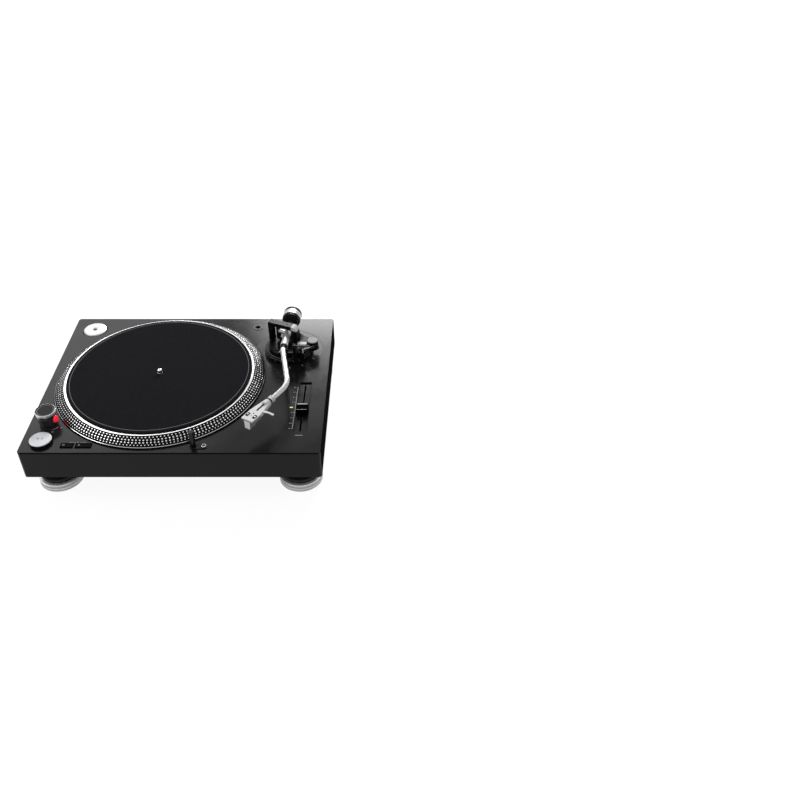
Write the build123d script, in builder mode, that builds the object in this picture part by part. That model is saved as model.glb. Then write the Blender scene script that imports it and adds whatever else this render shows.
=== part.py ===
from build123d import *

import os
from math import cos, radians, sin, tan

# Direct drive disc turntable with an S shaped arm, in millimetres.
# X runs to the right, Y to the back and Z up; the origin is on the floor under the plinth's middle.
# Places are measured from the deck's front left corner, and heights from the deck's top face.

os.makedirs("parts", exist_ok=True)

# Clearances
slide_gap = 0.3
seat_gap = 0.05
running_gap = 0.05

# Plinth and its bottom cover
plinth_width = 450.0
plinth_depth = 350.0
plinth_height = 49.5
foot_height = 41.5
corner_radius = 5.0
edge_chamfer = 0.6
wall = 3.2
deck_thickness = 4.0
cover_thickness = 3.0
boss_radius = 4.6
vent_length = 34.0
vent_width = 2.4
vent_pitch = 6.0

# Case screws
screw_radius = 1.6
screw_head_radius = 3.2
screw_head_height = 1.8
screw_length = 11.0

# Feet
foot_side_inset = 37.3
foot_front_inset = 41.0
foot_top_radius = 28.0
foot_neck_radius = 26.4
foot_lip_radius = 29.4
foot_lip_low = 17.0
foot_lip_high = 22.0
foot_ring_radius = 33.6
foot_ring_low = 1.4
foot_ring_high = 14.6
foot_ring_chamfer = 1.4
foot_pad_radius = 25.0
foot_pad_height = 5.0
stud_radius = 5.0
stud_length = 22.0
stud_boss_wall = 5.0
stud_boss_height = 14.0

# Platter, its mat and the motor
spindle_x = 181.0
spindle_y = 174.0
platter_radius = 166.5
platter_wall = 4.0
rim_edge_height = 3.6
platter_top = 13.0
lip_height = 0.6
lip_width = 3.2
band_inner_radius = 150.4
mat_gap = 0.5
mat_thickness = 3.0
well_gap = 1.7
well_depth = 8.0
well_floor = 3.0
skirt_gap = 1.5
hub_radius = 16.0
hub_drop = 10.0
record_pin_radius = 3.575
record_pin_length = 5.5
record_pin_dome = 1.6
shoulder_radius = 3.75
shaft_radius = 4.0
shaft_length = 36.0
taper_low_radius = 6.0
taper_high_radius = 5.5
mat_hole_gap = 0.35
taper_gap = 0.12
magnet_inner_radius = 51.0
magnet_outer_radius = 58.0
magnet_height = 14.0
motor_hole_radius = 63.0
motor_plate_radius = 76.0
motor_plate_thickness = 3.0
motor_screw_circle = 69.5
motor_screw_boss = 4.2
motor_screw_depth = 7.0
bearing_radius = 10.8
bearing_top = -2.0
stator_bore_gap = 0.4
stator_hub_wall = 5.0
stator_radius = 49.0
stator_height = 7.0
stator_low = -8.5
tooth_count = 12
tooth_width = 5.0
tooth_tip_depth = 3.5
coil_length = 18.0
coil_overhang = 2.4

# Start and stop button, speed keys and their board
start_x = 30.0
start_y = 24.3
start_radius = 16.5
start_height = 6.0
start_dish_radius = 19.0
start_dish_depth = 1.0
start_edge = 0.8
key_slot_left = 61.1
key_slot_right = 108.0
key_slot_front = 10.7
key_slot_back = 21.2
key_height = 1.6
key_light_x = 82.0
key_light_width = 2.4
key_gap = 0.25
key_flange = 1.0
key_flange_depth = 3.0
key_relief = 2.0
button_flange_height = 1.5
button_travel = 1.5
button_stem_radius = 2.4
board_drop = 15.4
board_thickness = 1.6
board_left = 11.0
board_right = 115.0
board_front = 8.0
board_back = 47.0
board_post_radius = 2.6
switch_side = 6.0
switch_height = 4.0
plunger_radius = 1.7
plunger_height = 1.0

# Strobe tower with the power dial
tower_x = 27.9
tower_y = 70.0
tower_low_radius = 13.6
tower_high_radius = 15.2
tower_height = 19.3
tower_neck_radius = 9.6
tower_neck_length = 6.0
dial_radius = 15.5
dial_top = 24.0
dial_edge = 0.7
dial_dish_radius = 12.8
dial_dish_depth = 0.7
dial_shaft_radius = 3.0
dial_shaft_end = -11.0
power_switch_side = 13.0
power_switch_height = 7.0
window_heading = -13.0
window_width = 10.5
window_low = 3.0
window_high = 16.4
window_depth = 5.5
window_bulge = 2.8

# Target lamp
lamp_x = 260.0
lamp_y = 14.0
lamp_radius = 4.2
lamp_top = 30.0
lamp_below = 6.0
lamp_travel = 26.0
lamp_head_width = 3.2
lamp_head_height = 9.0
lamp_base_half_length = 13.8
lamp_base_half_width = 5.9
lamp_base_x = 267.5
lamp_base_height = 1.2
lamp_guide_wall = 1.5
lamp_guide_length = 7.0
lamp_button_x = 275.3
lamp_button_radius = 3.6
lamp_button_height = 2.6
lamp_button_travel = 1.8

# Pitch fader
fader_x = 415.5
fader_width = 19.0
fader_front = 42.5
fader_back = 168.5
fader_dish_depth = 0.9
fader_end_length = 5.4
fader_end_depth = 3.2
fader_slot_width = 2.8
fader_slot_front = 49.0
fader_slot_back = 161.0
fader_rest_y = 95.25
fader_cap_width = 18.0
fader_cap_length = 18.5
fader_cap_height = 9.8
fader_cap_slope = 2.0
fader_groove = 0.8
fader_stem_width = 1.8
fader_stem_length = 5.0
fader_stem_depth = 10.0
fader_box_width = 14.0
fader_box_height = 12.0
fader_box_margin = 3.0
pitch_light_x = 397.5
pitch_light_y = 105.1
pitch_light_length = 6.0
pitch_light_width = 3.0
light_depth = 6.0
light_proud = 0.2

# Large hole adaptor and headshell store
adaptor_x = 36.8
adaptor_y = 315.3
adaptor_radius = 19.25
adaptor_height = 11.0
adaptor_proud = 2.0
adaptor_bevel = 2.0
adaptor_hole_radius = 3.65
adaptor_dish_gap = 1.6
store_x = 319.4
store_y = 323.0
store_flange_radius = 8.4
store_flange_height = 0.8
store_mouth_radius = 6.1
store_mouth_depth = 4.0
store_bore_radius = 4.15
store_bore_length = 18.0
store_wall = 2.0

# Arm base
arm_x = 380.5
arm_y = 256.0
arm_plate_radius = 57.5
arm_plate_thickness = 2.0
arm_barrel_radius = 42.0
arm_barrel_depth = 12.0
arm_plate_trim = 1.6
height_ring_radius = 40.6
height_ring_height = 9.8
height_ring_bore = 24.0
height_ring_step = 2.2
height_ring_step_depth = 2.6
arm_stem_radius = 20.0
arm_stem_length = 24.0
drum_radius = 33.5
drum_height = 6.0
drum_step = 1.5
arch_heading = 158.0
arch_reach_left = 33.5
arch_reach_right = 19.5
arch_depth = 15.0
arch_bar_depth = 11.0
arch_leg = 5.5
arch_top = 53.0
arch_bar = 6.6
arch_round_left = 2.0
arch_round_right = 9.0
arch_inner_round = 2.0
top_pin_radius = 1.5

# Anti-skate block and knob
skate_block_left = 396.5
skate_block_right = 411.6
skate_block_front = 240.5
skate_block_back = 254.0
skate_block_top = 23.4
skate_x = 421.4
skate_y = 250.5
skate_radius = 9.0
skate_top = 25.6
skate_shelf_radius = 10.2
skate_shelf_top = 13.0
skate_shaft_radius = 2.5
skate_shaft_length = 4.0
skate_edge = 0.8

# Arm rest and lift
rest_heading = -72.0
rest_reach = 50.3
rest_post_radius = 3.0
rest_post_top = 46.0
rest_gap = 2.0
rest_cradle_width = 4.6
rest_cradle_height = 3.0
rest_cradle_left = 369.5
rest_lip = 1.0
clip_thickness = 1.6
clip_reach = 24.5
clip_depth = 2.2
clip_pin_radius = 1.2
lift_heading = -56.0
lift_reach = 43.0
lift_sleeve_radius = 5.2
lift_sleeve_top = 23.3
lift_rod_radius = 2.0
lift_rod_length = 12.2
lift_travel = 5.0
lift_gap = 2.05
lift_arc_width = 3.0
lift_arc_height = 2.4
lift_arc_start = -118.0
cue_axle_radius = 1.8
cue_axle_height = 19.9
cue_axle_length = 4.2
cue_hub_radius = 4.2
cue_hub_width = 3.0
cue_arm_length = 25.0
cue_arm_height = 3.2
cue_heading = 28.0

# Arm, along its own plane
arm_height = 37.0
axle_height = 34.5
axle_heading = -30.5
arm_rise = 0.5
tube_radius = 4.3
tube_wall = 0.7
main_turn = 26.7
middle_turn = 40.89
sleeve_length = 46.8
middle_run = 93.0
front_run = 43.6
first_bend_radius = 28.0
second_bend_radius = 46.0
sleeve_head_radius = 5.6
sleeve_head_length = 9.0
sleeve_end_radius = 6.2
sleeve_ring_radius = 4.95
sleeve_ring_length = 7.1
rear_shaft_radius = 5.0
rear_shaft_length = 59.0
axle_radius = 2.2
axle_boss_radius = 3.4
yoke_inner_right = 9.2
yoke_inner_left = 17.6
yoke_outer_right = 13.4
yoke_outer_left = 21.4
yoke_depth = 7.0
yoke_top_low = 44.6
yoke_top_high = 45.9
yoke_bottom_low = 18.5
yoke_bottom_high = 25.0
yoke_shaft_radius = 5.0
yoke_shaft_length = 14.0

# Headshell and cartridge, from the tube's end forwards
collar_radius = 6.0
collar_length = 9.0
collar_back = 5.0
collar_bore_radius = 4.15
collar_mouth_radius = 5.3
collar_mouth_depth = 2.4
plug_radius = 2.4
shell_neck_radius = 6.2
shell_neck_length = 11.0
shell_neck_back_radius = 4.4
shell_neck_taper = 2.5
shell_start = 9.6
shell_length = 48.9
shell_back_width = 11.0
shell_front_width = 20.0
shell_wide_from = 28.8
shell_thickness = 2.4
shell_rise = 3.6
shell_skirt = 4.2
shell_skirt_wall = 1.4
shell_slot_start = 17.0
shell_slot_length = 17.0
shell_slot_width = 2.0
screw_slot_from_front = 10.8
screw_spacing = 12.7
screw_slot_width = 2.7
screw_slot_length = 6.5
lift_tab_from_front = 28.4
lift_tab_reach = 28.0
lift_tab_width = 3.2
lift_tab_thickness = 1.3
lift_tab_rise = 1.6
cartridge_width = 16.5
cartridge_length = 14.0
cartridge_back = 36.0
cartridge_height = 8.0
grip_width = 11.2
grip_length = 16.0
grip_front = 0.8
grip_height = 14.5
stylus_setback = 7.0
stylus_drop = 3.4
stylus_block_width = 6.0
stylus_block_length = 8.0
pin_radius = 0.6
pin_length = 3.0

# Counterweight and its force dial, behind the pivot
dial_ring_start = 32.4
dial_ring_length = 4.3
dial_ring_radius = 14.4
weight_radius = 15.3
weight_length = 19.0
weight_rear_lip = 0.8
weight_bevel = 0.8
weight_cup_radius = 10.0
weight_cup_depth = 3.0
dial_hub_radius = 7.0

# Rear panel
panel_x = 225.0
panel_width = 160.0
panel_height = 27.0
panel_centre = -27.4
panel_wall = 2.0
panel_recess = 14.0
jack_x_list = (190.0, 206.0)
jack_radius = 4.15
jack_length = 8.0
jack_flange_radius = 6.4
jack_flange = 1.6
jack_tail = 12.0
jack_bore_radius = 1.7
usb_x = 256.0
usb_width = 12.0
usb_height = 11.0
usb_wall = 1.2
usb_depth = 9.0
usb_proud = 2.0
inlet_x = 284.0
inlet_width = 22.0
inlet_height = 14.0
inlet_hole_width = 16.4
inlet_hole_height = 8.6
inlet_depth = 10.0
inlet_length = 18.0
inlet_pin_radius = 1.15
inlet_pin_spacing = 8.6
ground_x = 165.0
ground_post_radius = 2.0
ground_post_length = 11.0
ground_nut_radius = 5.0
ground_nut_length = 6.0
switch_x = 231.0
switch_cap_width = 4.0
switch_cap_height = 5.0
switch_travel = 4.0
switch_slot_height = 5.6
switch_proud = 3.0
switch_tail = 5.0
hinge_inset = 70.0
hinge_x_list = (hinge_inset, plinth_width - hinge_inset)
hinge_width = 36.0
hinge_height = 15.0
hinge_length = 24.0
hinge_centre = -24.0
hinge_slot_width = 27.0
hinge_slot_height = 5.0
hinge_slot_depth = 18.0
hinge_flange = 3.0
hinge_flange_thickness = 2.0

# Transformer and main board
transformer_x = 100.0
transformer_y = 288.0
core_length = 48.0
core_width = 40.0
core_height = 26.0
winding_height = 20.0
winding_overhang = 5.0
transformer_foot = 9.0
main_board_x = 252.0
main_board_y = 276.0
main_board_length = 96.0
main_board_width = 74.0
standoff_radius = 3.0
standoff_height = 5.0
standoff_inset = 5.0

# Levels and places worked out from the sizes above
deck_z = foot_height + plinth_height
cover_low = -plinth_height
cover_top = cover_low + cover_thickness
well_radius = platter_radius + well_gap
well_wall_radius = well_radius + well_floor
web_low = platter_top - platter_wall
mat_top = platter_top + mat_thickness
mat_radius = band_inner_radius - lip_width - mat_gap
skirt_low = -well_depth + skirt_gap
plate_top = -well_depth - well_floor
shaft_low = bearing_top - shaft_length
board_top = -board_drop
plunger_top = board_top + switch_height + plunger_height
stem_low = plunger_top + button_travel + seat_gap
flange_top = -deck_thickness - slide_gap
key_y = (key_slot_front + key_slot_back) / 2
key_depth = key_slot_back - key_slot_front
drum_low = height_ring_height + slide_gap
drum_top = drum_low + drum_height
arch_low = drum_top - seat_gap
foot_places = {
    "front_left": (foot_side_inset, foot_front_inset),
    "front_right": (plinth_width - foot_side_inset, foot_front_inset),
    "rear_left": (foot_side_inset, plinth_depth - foot_front_inset),
    "rear_right": (plinth_width - foot_side_inset, plinth_depth - foot_front_inset),
}
screw_inset = wall + boss_radius + 2.2
case_screw_places = [
    (plinth_width * 0.33, screw_inset),
    (plinth_width * 0.47, screw_inset),
    (plinth_width * 0.73, screw_inset),
    (plinth_width * 0.24, plinth_depth - screw_inset),
    (plinth_width * 0.76, plinth_depth - screw_inset),
    (screw_inset, plinth_depth * 0.36),
    (screw_inset, plinth_depth * 0.66),
    (plinth_width - screw_inset, plinth_depth * 0.36),
    (plinth_width - screw_inset, plinth_depth * 0.66),
]
motor_screw_places = [
    (
        spindle_x + motor_screw_circle * cos(radians(turn)),
        spindle_y + motor_screw_circle * sin(radians(turn)),
    )
    for turn in (45, 135, 225, 315)
]
board_posts = [
    (board_left + 3.6, board_back - 3.6),
    (board_left + 44.0, board_back - 3.6),
    (board_left + 44.0, board_front + 3.6),
    (board_right - 3.6, board_front + 3.6),
]
main_board_posts = [
    (main_board_x + across * (main_board_length / 2 - standoff_inset),
     main_board_y + along * (main_board_width / 2 - standoff_inset))
    for across in (-1, 1)
    for along in (-1, 1)
]


def level(x, y, z=0.0):
    """Level plane at a place on the deck, z above its top face."""
    return Plane((x - plinth_width / 2, y - plinth_depth / 2, deck_z + z))


def upright(x, y, heading=0.0):
    """Upright plane through a vertical axis: local x points along the heading, local y up."""
    origin = (x - plinth_width / 2, y - plinth_depth / 2, deck_z)
    across = (cos(radians(heading)), sin(radians(heading)), 0)
    facing = (sin(radians(heading)), -cos(radians(heading)), 0)
    return Plane(origin, x_dir=across, z_dir=facing)


def rear(x, z, inside=0.0):
    """Upright plane facing back at a place along the deck, a depth inside the rear wall's face."""
    origin = (x - plinth_width / 2, plinth_depth / 2 - inside, deck_z + z)
    return Plane(origin, x_dir=(-1, 0, 0), z_dir=(0, 1, 0))


def disc(plane, radius, height, bore=0.0, mode=Mode.ADD):
    """Round slab, or a ring where a bore is given, standing on a plane."""
    with BuildSketch(plane) as outline:
        Circle(radius)
        if bore > 0:
            Circle(bore, mode=Mode.SUBTRACT)
    extrude(outline.sketch, amount=height, mode=mode)


def slab(plane, length, width, height, corner=0.0, mode=Mode.ADD):
    """Rectangular slab centred on a plane, with rounded corners where a corner is given."""
    with BuildSketch(plane) as outline:
        if corner > 0:
            RectangleRounded(length, width, corner)
        else:
            Rectangle(length, width)
    extrude(outline.sketch, amount=height, mode=mode)


def turned(plane, points, mode=Mode.ADD):
    """Solid turned about a plane's local y axis from points of (radius, place along the axis)."""
    with BuildSketch(plane) as outline:
        with BuildLine():
            Polyline(*points, close=True)
        make_face()
    revolve(outline.sketch, axis=Axis(plane.origin, plane.y_dir), mode=mode)


def pushed(plane, points, thickness, mode=Mode.ADD):
    """Plate cut to a polygon on a plane and as thick to both sides of it."""
    with BuildSketch(plane) as outline:
        with BuildLine():
            Polyline(*points, close=True)
        make_face()
    extrude(outline.sketch, amount=thickness / 2, both=True, mode=mode)


def save(part, name):
    """Label a finished piece and write its file."""
    part.label = name
    export_step(part, f"parts/{name}.step")


# Plinth: one box with its deck, the platter's well, and bosses below the deck
with BuildPart() as plinth:
    slab(level(plinth_width / 2, plinth_depth / 2, cover_low), plinth_width, plinth_depth,
         plinth_height, corner_radius)
    chamfer(plinth.faces().sort_by(Axis.Z)[-1].edges(), edge_chamfer)
    slab(level(plinth_width / 2, plinth_depth / 2, cover_low), plinth_width - 2 * wall,
         plinth_depth - 2 * wall, plinth_height - deck_thickness, corner_radius - wall,
         Mode.SUBTRACT)
    # Bosses for the case screws and posts for the control board
    for x, y in case_screw_places:
        disc(level(x, y, cover_top), boss_radius, -cover_top - deck_thickness)
    for x, y in board_posts:
        disc(level(x, y, board_top), board_post_radius, -board_top - deck_thickness)
    # Well pan, kept inside the side walls
    disc(level(spindle_x, spindle_y, plate_top), well_wall_radius, -plate_top)
    disc(level(spindle_x, spindle_y, -well_depth), well_radius, well_depth, mode=Mode.SUBTRACT)
    for x, y in motor_screw_places:
        disc(level(x, y, -well_depth), motor_screw_boss, motor_screw_depth)
    disc(level(spindle_x, spindle_y, plate_top), motor_hole_radius, -plate_top, mode=Mode.SUBTRACT)
    # Holes for the case screws
    for x, y in case_screw_places:
        disc(level(x, y, cover_top), screw_radius + seat_gap, screw_length, mode=Mode.SUBTRACT)
    for x, y in motor_screw_places:
        disc(level(x, y, plate_top), screw_radius + seat_gap, screw_length - motor_plate_thickness,
             mode=Mode.SUBTRACT)
    # Lamp guide below the deck
    disc(level(lamp_x, lamp_y, -deck_thickness - lamp_guide_length),
         lamp_radius + slide_gap + lamp_guide_wall, lamp_guide_length)
    # Adaptor dish and headshell store
    adaptor_floor = adaptor_proud - adaptor_height
    disc(level(adaptor_x, adaptor_y, adaptor_floor - well_floor),
         adaptor_radius + adaptor_dish_gap + wall, well_floor - adaptor_floor - deck_thickness)
    disc(level(adaptor_x, adaptor_y, adaptor_floor), adaptor_radius + adaptor_dish_gap,
         -adaptor_floor, mode=Mode.SUBTRACT)
    disc(level(store_x, store_y, -deck_thickness), store_bore_radius + store_wall + seat_gap,
         deck_thickness, mode=Mode.SUBTRACT)
    # Arm plate's step and barrel hole
    disc(level(arm_x, arm_y, -arm_plate_thickness), arm_plate_radius + slide_gap,
         arm_plate_thickness, mode=Mode.SUBTRACT)
    disc(level(spindle_x, spindle_y, -arm_plate_thickness), well_radius + arm_plate_trim,
         arm_plate_thickness, bore=well_radius)
    disc(level(arm_x, arm_y, -deck_thickness), arm_barrel_radius + slide_gap, deck_thickness,
         mode=Mode.SUBTRACT)
    # Start button, speed keys, tower and lamp
    disc(level(start_x, start_y, -start_dish_depth), start_dish_radius, start_dish_depth,
         mode=Mode.SUBTRACT)
    disc(level(start_x, start_y, -deck_thickness), start_radius + slide_gap, deck_thickness,
         mode=Mode.SUBTRACT)
    slab(level((key_slot_left + key_slot_right) / 2, key_y, -deck_thickness - key_relief),
         key_slot_right - key_slot_left, key_depth, deck_thickness + key_relief,
         mode=Mode.SUBTRACT)
    disc(level(tower_x, tower_y, -deck_thickness), tower_neck_radius + seat_gap, deck_thickness,
         mode=Mode.SUBTRACT)
    disc(level(lamp_x, lamp_y, -deck_thickness - lamp_guide_length), lamp_radius + slide_gap,
         deck_thickness + lamp_guide_length, mode=Mode.SUBTRACT)
    disc(level(lamp_button_x, lamp_y, -deck_thickness), lamp_button_radius + slide_gap,
         deck_thickness, mode=Mode.SUBTRACT)
    # Pitch fader's dish and slot, and the two indicator lights
    slab(level(fader_x, (fader_front + fader_back) / 2, -fader_dish_depth), fader_width,
         fader_back - fader_front, fader_dish_depth, 1.0, Mode.SUBTRACT)
    slab(level(fader_x, fader_back - fader_end_length / 2, -fader_end_depth), fader_width,
         fader_end_length, fader_end_depth, 1.0, Mode.SUBTRACT)
    slab(level(fader_x, (fader_slot_front + fader_slot_back) / 2, -deck_thickness),
         fader_slot_width, fader_slot_back - fader_slot_front, deck_thickness,
         mode=Mode.SUBTRACT)
    slab(level(pitch_light_x, pitch_light_y, -deck_thickness), pitch_light_length + 2 * seat_gap,
         pitch_light_width + 2 * seat_gap, deck_thickness, mode=Mode.SUBTRACT)
    # Openings in the rear wall
    slab(rear(panel_x, panel_centre, wall), panel_width + 2 * seat_gap,
         panel_height + 2 * seat_gap, wall, mode=Mode.SUBTRACT)
    for x in hinge_x_list:
        slab(rear(x, hinge_centre, wall), hinge_width + 2 * seat_gap,
             hinge_height + 2 * seat_gap, wall, mode=Mode.SUBTRACT)
save(plinth.part, "plinth")

# Bottom cover: plate inside the walls, with foot bosses, standoffs, screw holes and vents
with BuildPart() as bottom_cover:
    slab(level(plinth_width / 2, plinth_depth / 2, cover_low),
         plinth_width - 2 * (wall + slide_gap), plinth_depth - 2 * (wall + slide_gap),
         cover_thickness, corner_radius - wall)
    for x, y in foot_places.values():
        disc(level(x, y, cover_top), stud_radius + stud_boss_wall, stud_boss_height)
    for x, y in foot_places.values():
        disc(level(x, y, cover_low), stud_radius + running_gap, cover_thickness + stud_boss_height,
             mode=Mode.SUBTRACT)
    for x, y in main_board_posts:
        disc(level(x, y, cover_top), standoff_radius, standoff_height)
    for x, y in case_screw_places:
        disc(level(x, y, cover_low), screw_radius + seat_gap, cover_thickness, mode=Mode.SUBTRACT)
        disc(level(x, y, cover_low), screw_head_radius + seat_gap, screw_head_height,
             mode=Mode.SUBTRACT)
    with BuildSketch(level(transformer_x, transformer_y - core_width, cover_low)) as vents:
        with GridLocations(vent_pitch, vent_pitch, 12, 1):
            SlotOverall(vent_length, vent_width, rotation=90)
    extrude(vents.sketch, amount=cover_thickness, mode=Mode.SUBTRACT)
save(bottom_cover.part, "bottom_cover")

# Case screws: the same screw holds the cover to the plinth and the motor plate to the well
with BuildPart() as case_screws:
    for x, y in case_screw_places:
        disc(level(x, y, cover_low), screw_head_radius, screw_head_height - seat_gap)
        disc(level(x, y, cover_low), screw_radius, screw_length)
    for x, y in motor_screw_places:
        disc(level(x, y, plate_top - motor_plate_thickness), screw_head_radius,
             screw_head_height - seat_gap)
        disc(level(x, y, plate_top - motor_plate_thickness), screw_radius,
             screw_length - seat_gap)
save(case_screws.part, "case_screws")

# Feet: housing with its stud, metal skirt ring and rubber pad, four times
floor_level = -deck_z
for place, (x, y) in foot_places.items():
    foot_axis = upright(x, y)
    with BuildPart() as foot_housing:
        turned(foot_axis, [
            (0, floor_level + foot_pad_height),
            (foot_pad_radius + seat_gap, floor_level + foot_pad_height),
            (foot_pad_radius + seat_gap, floor_level + foot_ring_low),
            (foot_neck_radius, floor_level + foot_ring_low),
            (foot_neck_radius, floor_level + foot_lip_low),
            (foot_lip_radius, floor_level + foot_lip_low),
            (foot_lip_radius, floor_level + foot_lip_high - 1.0),
            (foot_lip_radius - 1.0, floor_level + foot_lip_high),
            (foot_neck_radius, floor_level + foot_lip_high),
            (foot_top_radius, cover_low - slide_gap),
            (0, cover_low - slide_gap),
        ])
        disc(level(x, y, cover_low - slide_gap), stud_radius, stud_length)
    save(foot_housing.part, f"foot_housing_{place}")

    with BuildPart() as foot_ring:
        turned(foot_axis, [
            (foot_neck_radius + seat_gap, floor_level + foot_ring_low),
            (foot_ring_radius - foot_ring_chamfer, floor_level + foot_ring_low),
            (foot_ring_radius, floor_level + foot_ring_low + foot_ring_chamfer),
            (foot_ring_radius, floor_level + foot_ring_high - foot_ring_chamfer),
            (foot_ring_radius - foot_ring_chamfer, floor_level + foot_ring_high),
            (foot_neck_radius + seat_gap, floor_level + foot_ring_high),
        ])
    save(foot_ring.part, f"foot_ring_{place}")

    with BuildPart() as foot_pad:
        disc(level(x, y, floor_level), foot_pad_radius, foot_pad_height)
        chamfer(foot_pad.faces().sort_by(Axis.Z)[0].edges(), 0.5)
    save(foot_pad.part, f"foot_pad_{place}")

# Motor plate with the bearing housing, below the well
with BuildPart() as motor_plate:
    disc(level(spindle_x, spindle_y, plate_top - motor_plate_thickness), motor_plate_radius,
         motor_plate_thickness)
    disc(level(spindle_x, spindle_y, shaft_low - 2.4), bearing_radius, bearing_top - shaft_low + 2.4)
    disc(level(spindle_x, spindle_y, shaft_low), shaft_radius + running_gap, shaft_length,
         mode=Mode.SUBTRACT)
    for x, y in motor_screw_places:
        disc(level(x, y, plate_top - motor_plate_thickness), screw_radius + seat_gap,
             motor_plate_thickness, mode=Mode.SUBTRACT)
        disc(level(x, y, plate_top - motor_plate_thickness), screw_head_radius + seat_gap,
             screw_head_height, mode=Mode.SUBTRACT)
save(motor_plate.part, "motor_plate")

# Stator core: hub ring with teeth that end in pole tips, standing on the motor plate
stator_bore = bearing_radius + stator_bore_gap
stator_hub = stator_bore + stator_hub_wall
tooth_angles = [360 / tooth_count * turn for turn in range(tooth_count)]
with BuildPart() as stator_core:
    disc(level(spindle_x, spindle_y, plate_top), stator_hub, stator_low - plate_top,
         bore=stator_bore)
    disc(level(spindle_x, spindle_y, stator_low), stator_hub, stator_height, bore=stator_bore)
    for turn in tooth_angles:
        with BuildSketch(level(spindle_x, spindle_y, stator_low)) as tooth:
            with Locations(Rotation(0, 0, turn)):
                with Locations(((stator_hub + stator_radius) / 2 - 1, 0)):
                    Rectangle(stator_radius - stator_hub, tooth_width)
                with Locations((stator_radius - tooth_tip_depth, 0)):
                    Rectangle(tooth_tip_depth, tooth_width * 3)
        extrude(tooth.sketch, amount=stator_height)
save(stator_core.part, "stator_core")

# Stator coils: one winding round each tooth
coil_mid = (stator_hub + stator_radius - tooth_tip_depth) / 2 + 1
with BuildPart() as stator_coils:
    for turn in tooth_angles:
        coil_plane = Plane(
            (spindle_x - plinth_width / 2, spindle_y - plinth_depth / 2,
             deck_z + stator_low + stator_height / 2),
            x_dir=(-sin(radians(turn)), cos(radians(turn)), 0),
            z_dir=(cos(radians(turn)), sin(radians(turn)), 0),
        ).offset(coil_mid - coil_length / 2)
        with BuildSketch(coil_plane) as winding:
            RectangleRounded(tooth_width + 2 * coil_overhang, stator_height + 1.6 * coil_overhang,
                             1.6)
            Rectangle(tooth_width + 2 * seat_gap, stator_height + 2 * seat_gap,
                      mode=Mode.SUBTRACT)
        extrude(winding.sketch, amount=coil_length)
save(stator_coils.part, "stator_coils")

# Platter: dished disc with a sloping dotted band, turned about the spindle
spindle_axis = upright(spindle_x, spindle_y)
inner_rim = platter_radius - platter_wall
hub_low = web_low - hub_drop
with BuildPart() as platter:
    turned(spindle_axis, [
        (taper_low_radius + taper_gap, hub_low),
        (hub_radius, hub_low),
        (hub_radius, web_low),
        (band_inner_radius - lip_width, web_low),
        (inner_rim, rim_edge_height - platter_wall * 0.7),
        (inner_rim, skirt_low),
        (platter_radius, skirt_low),
        (platter_radius, rim_edge_height - 0.6),
        (platter_radius - 0.8, rim_edge_height),
        (band_inner_radius, platter_top + lip_height),
        (band_inner_radius - lip_width, platter_top + lip_height),
        (band_inner_radius - lip_width, platter_top),
        (taper_high_radius + taper_gap, platter_top),
    ])
save(platter.part, "platter")

# Rotor magnet under the platter
with BuildPart() as rotor_magnet:
    disc(level(spindle_x, spindle_y, web_low - magnet_height), magnet_outer_radius, magnet_height,
         bore=magnet_inner_radius)
save(rotor_magnet.part, "rotor_magnet")

# Spindle: shaft in the bearing, taper in the hub, and the record pin
pin_low = mat_top
pin_high = pin_low + record_pin_length
with BuildPart() as spindle:
    turned(spindle_axis, [
        (0, shaft_low + seat_gap),
        (shaft_radius, shaft_low + seat_gap),
        (shaft_radius, hub_low),
        (taper_low_radius, hub_low),
        (taper_high_radius, platter_top),
        (shoulder_radius, platter_top),
        (shoulder_radius, pin_low),
        (record_pin_radius, pin_low),
        (record_pin_radius, pin_high),
        (record_pin_radius * 0.6, pin_high + record_pin_dome * 0.75),
        (0, pin_high + record_pin_dome),
    ])
save(spindle.part, "spindle")

# Slipmat: felt disc inside the platter's bright lip
with BuildPart() as slipmat:
    disc(level(spindle_x, spindle_y, platter_top), mat_radius, mat_thickness,
         bore=shoulder_radius + mat_hole_gap)
save(slipmat.part, "slipmat")

# Start and stop button: metal cap with a flange below the deck and a stem to its switch
with BuildPart() as start_stop_button:
    disc(level(start_x, start_y, flange_top), start_radius, start_height - flange_top)
    chamfer(start_stop_button.faces().sort_by(Axis.Z)[-1].edges(), start_edge)
    disc(level(start_x, start_y, flange_top - button_flange_height), start_radius + 1.6,
         button_flange_height)
    disc(level(start_x, start_y, stem_low), button_stem_radius, flange_top - stem_low)
save(start_stop_button.part, "start_stop_button")

# Speed keys: two plastic keys in one slot, with a light between them
key_spans = {
    "speed_button_33": (key_slot_left, key_light_x - key_light_width / 2, -1),
    "speed_button_45": (key_light_x + key_light_width / 2, key_slot_right, 1),
}
for name, (left, right, outer_side) in key_spans.items():
    middle = (left + right) / 2
    with BuildPart() as speed_key:
        slab(level(middle, key_y, flange_top), right - left - 2 * key_gap,
             key_depth - 2 * key_gap, key_height - flange_top)
        chamfer(speed_key.faces().sort_by(Axis.Z)[-1].edges(), 0.4)
        flange_x = middle + outer_side * (right - left) / 2 - outer_side * 2
        slab(level(flange_x, key_y - 1.0, flange_top - button_flange_height),
             4 + 2 * key_flange, key_flange_depth, button_flange_height)
        slab(level(middle, key_y - 1.0, flange_top - button_flange_height),
             right - left - 2 * key_gap, key_flange_depth, button_flange_height)
        disc(level(middle, key_y, stem_low), button_stem_radius, flange_top - stem_low)
    save(speed_key.part, name)

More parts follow.
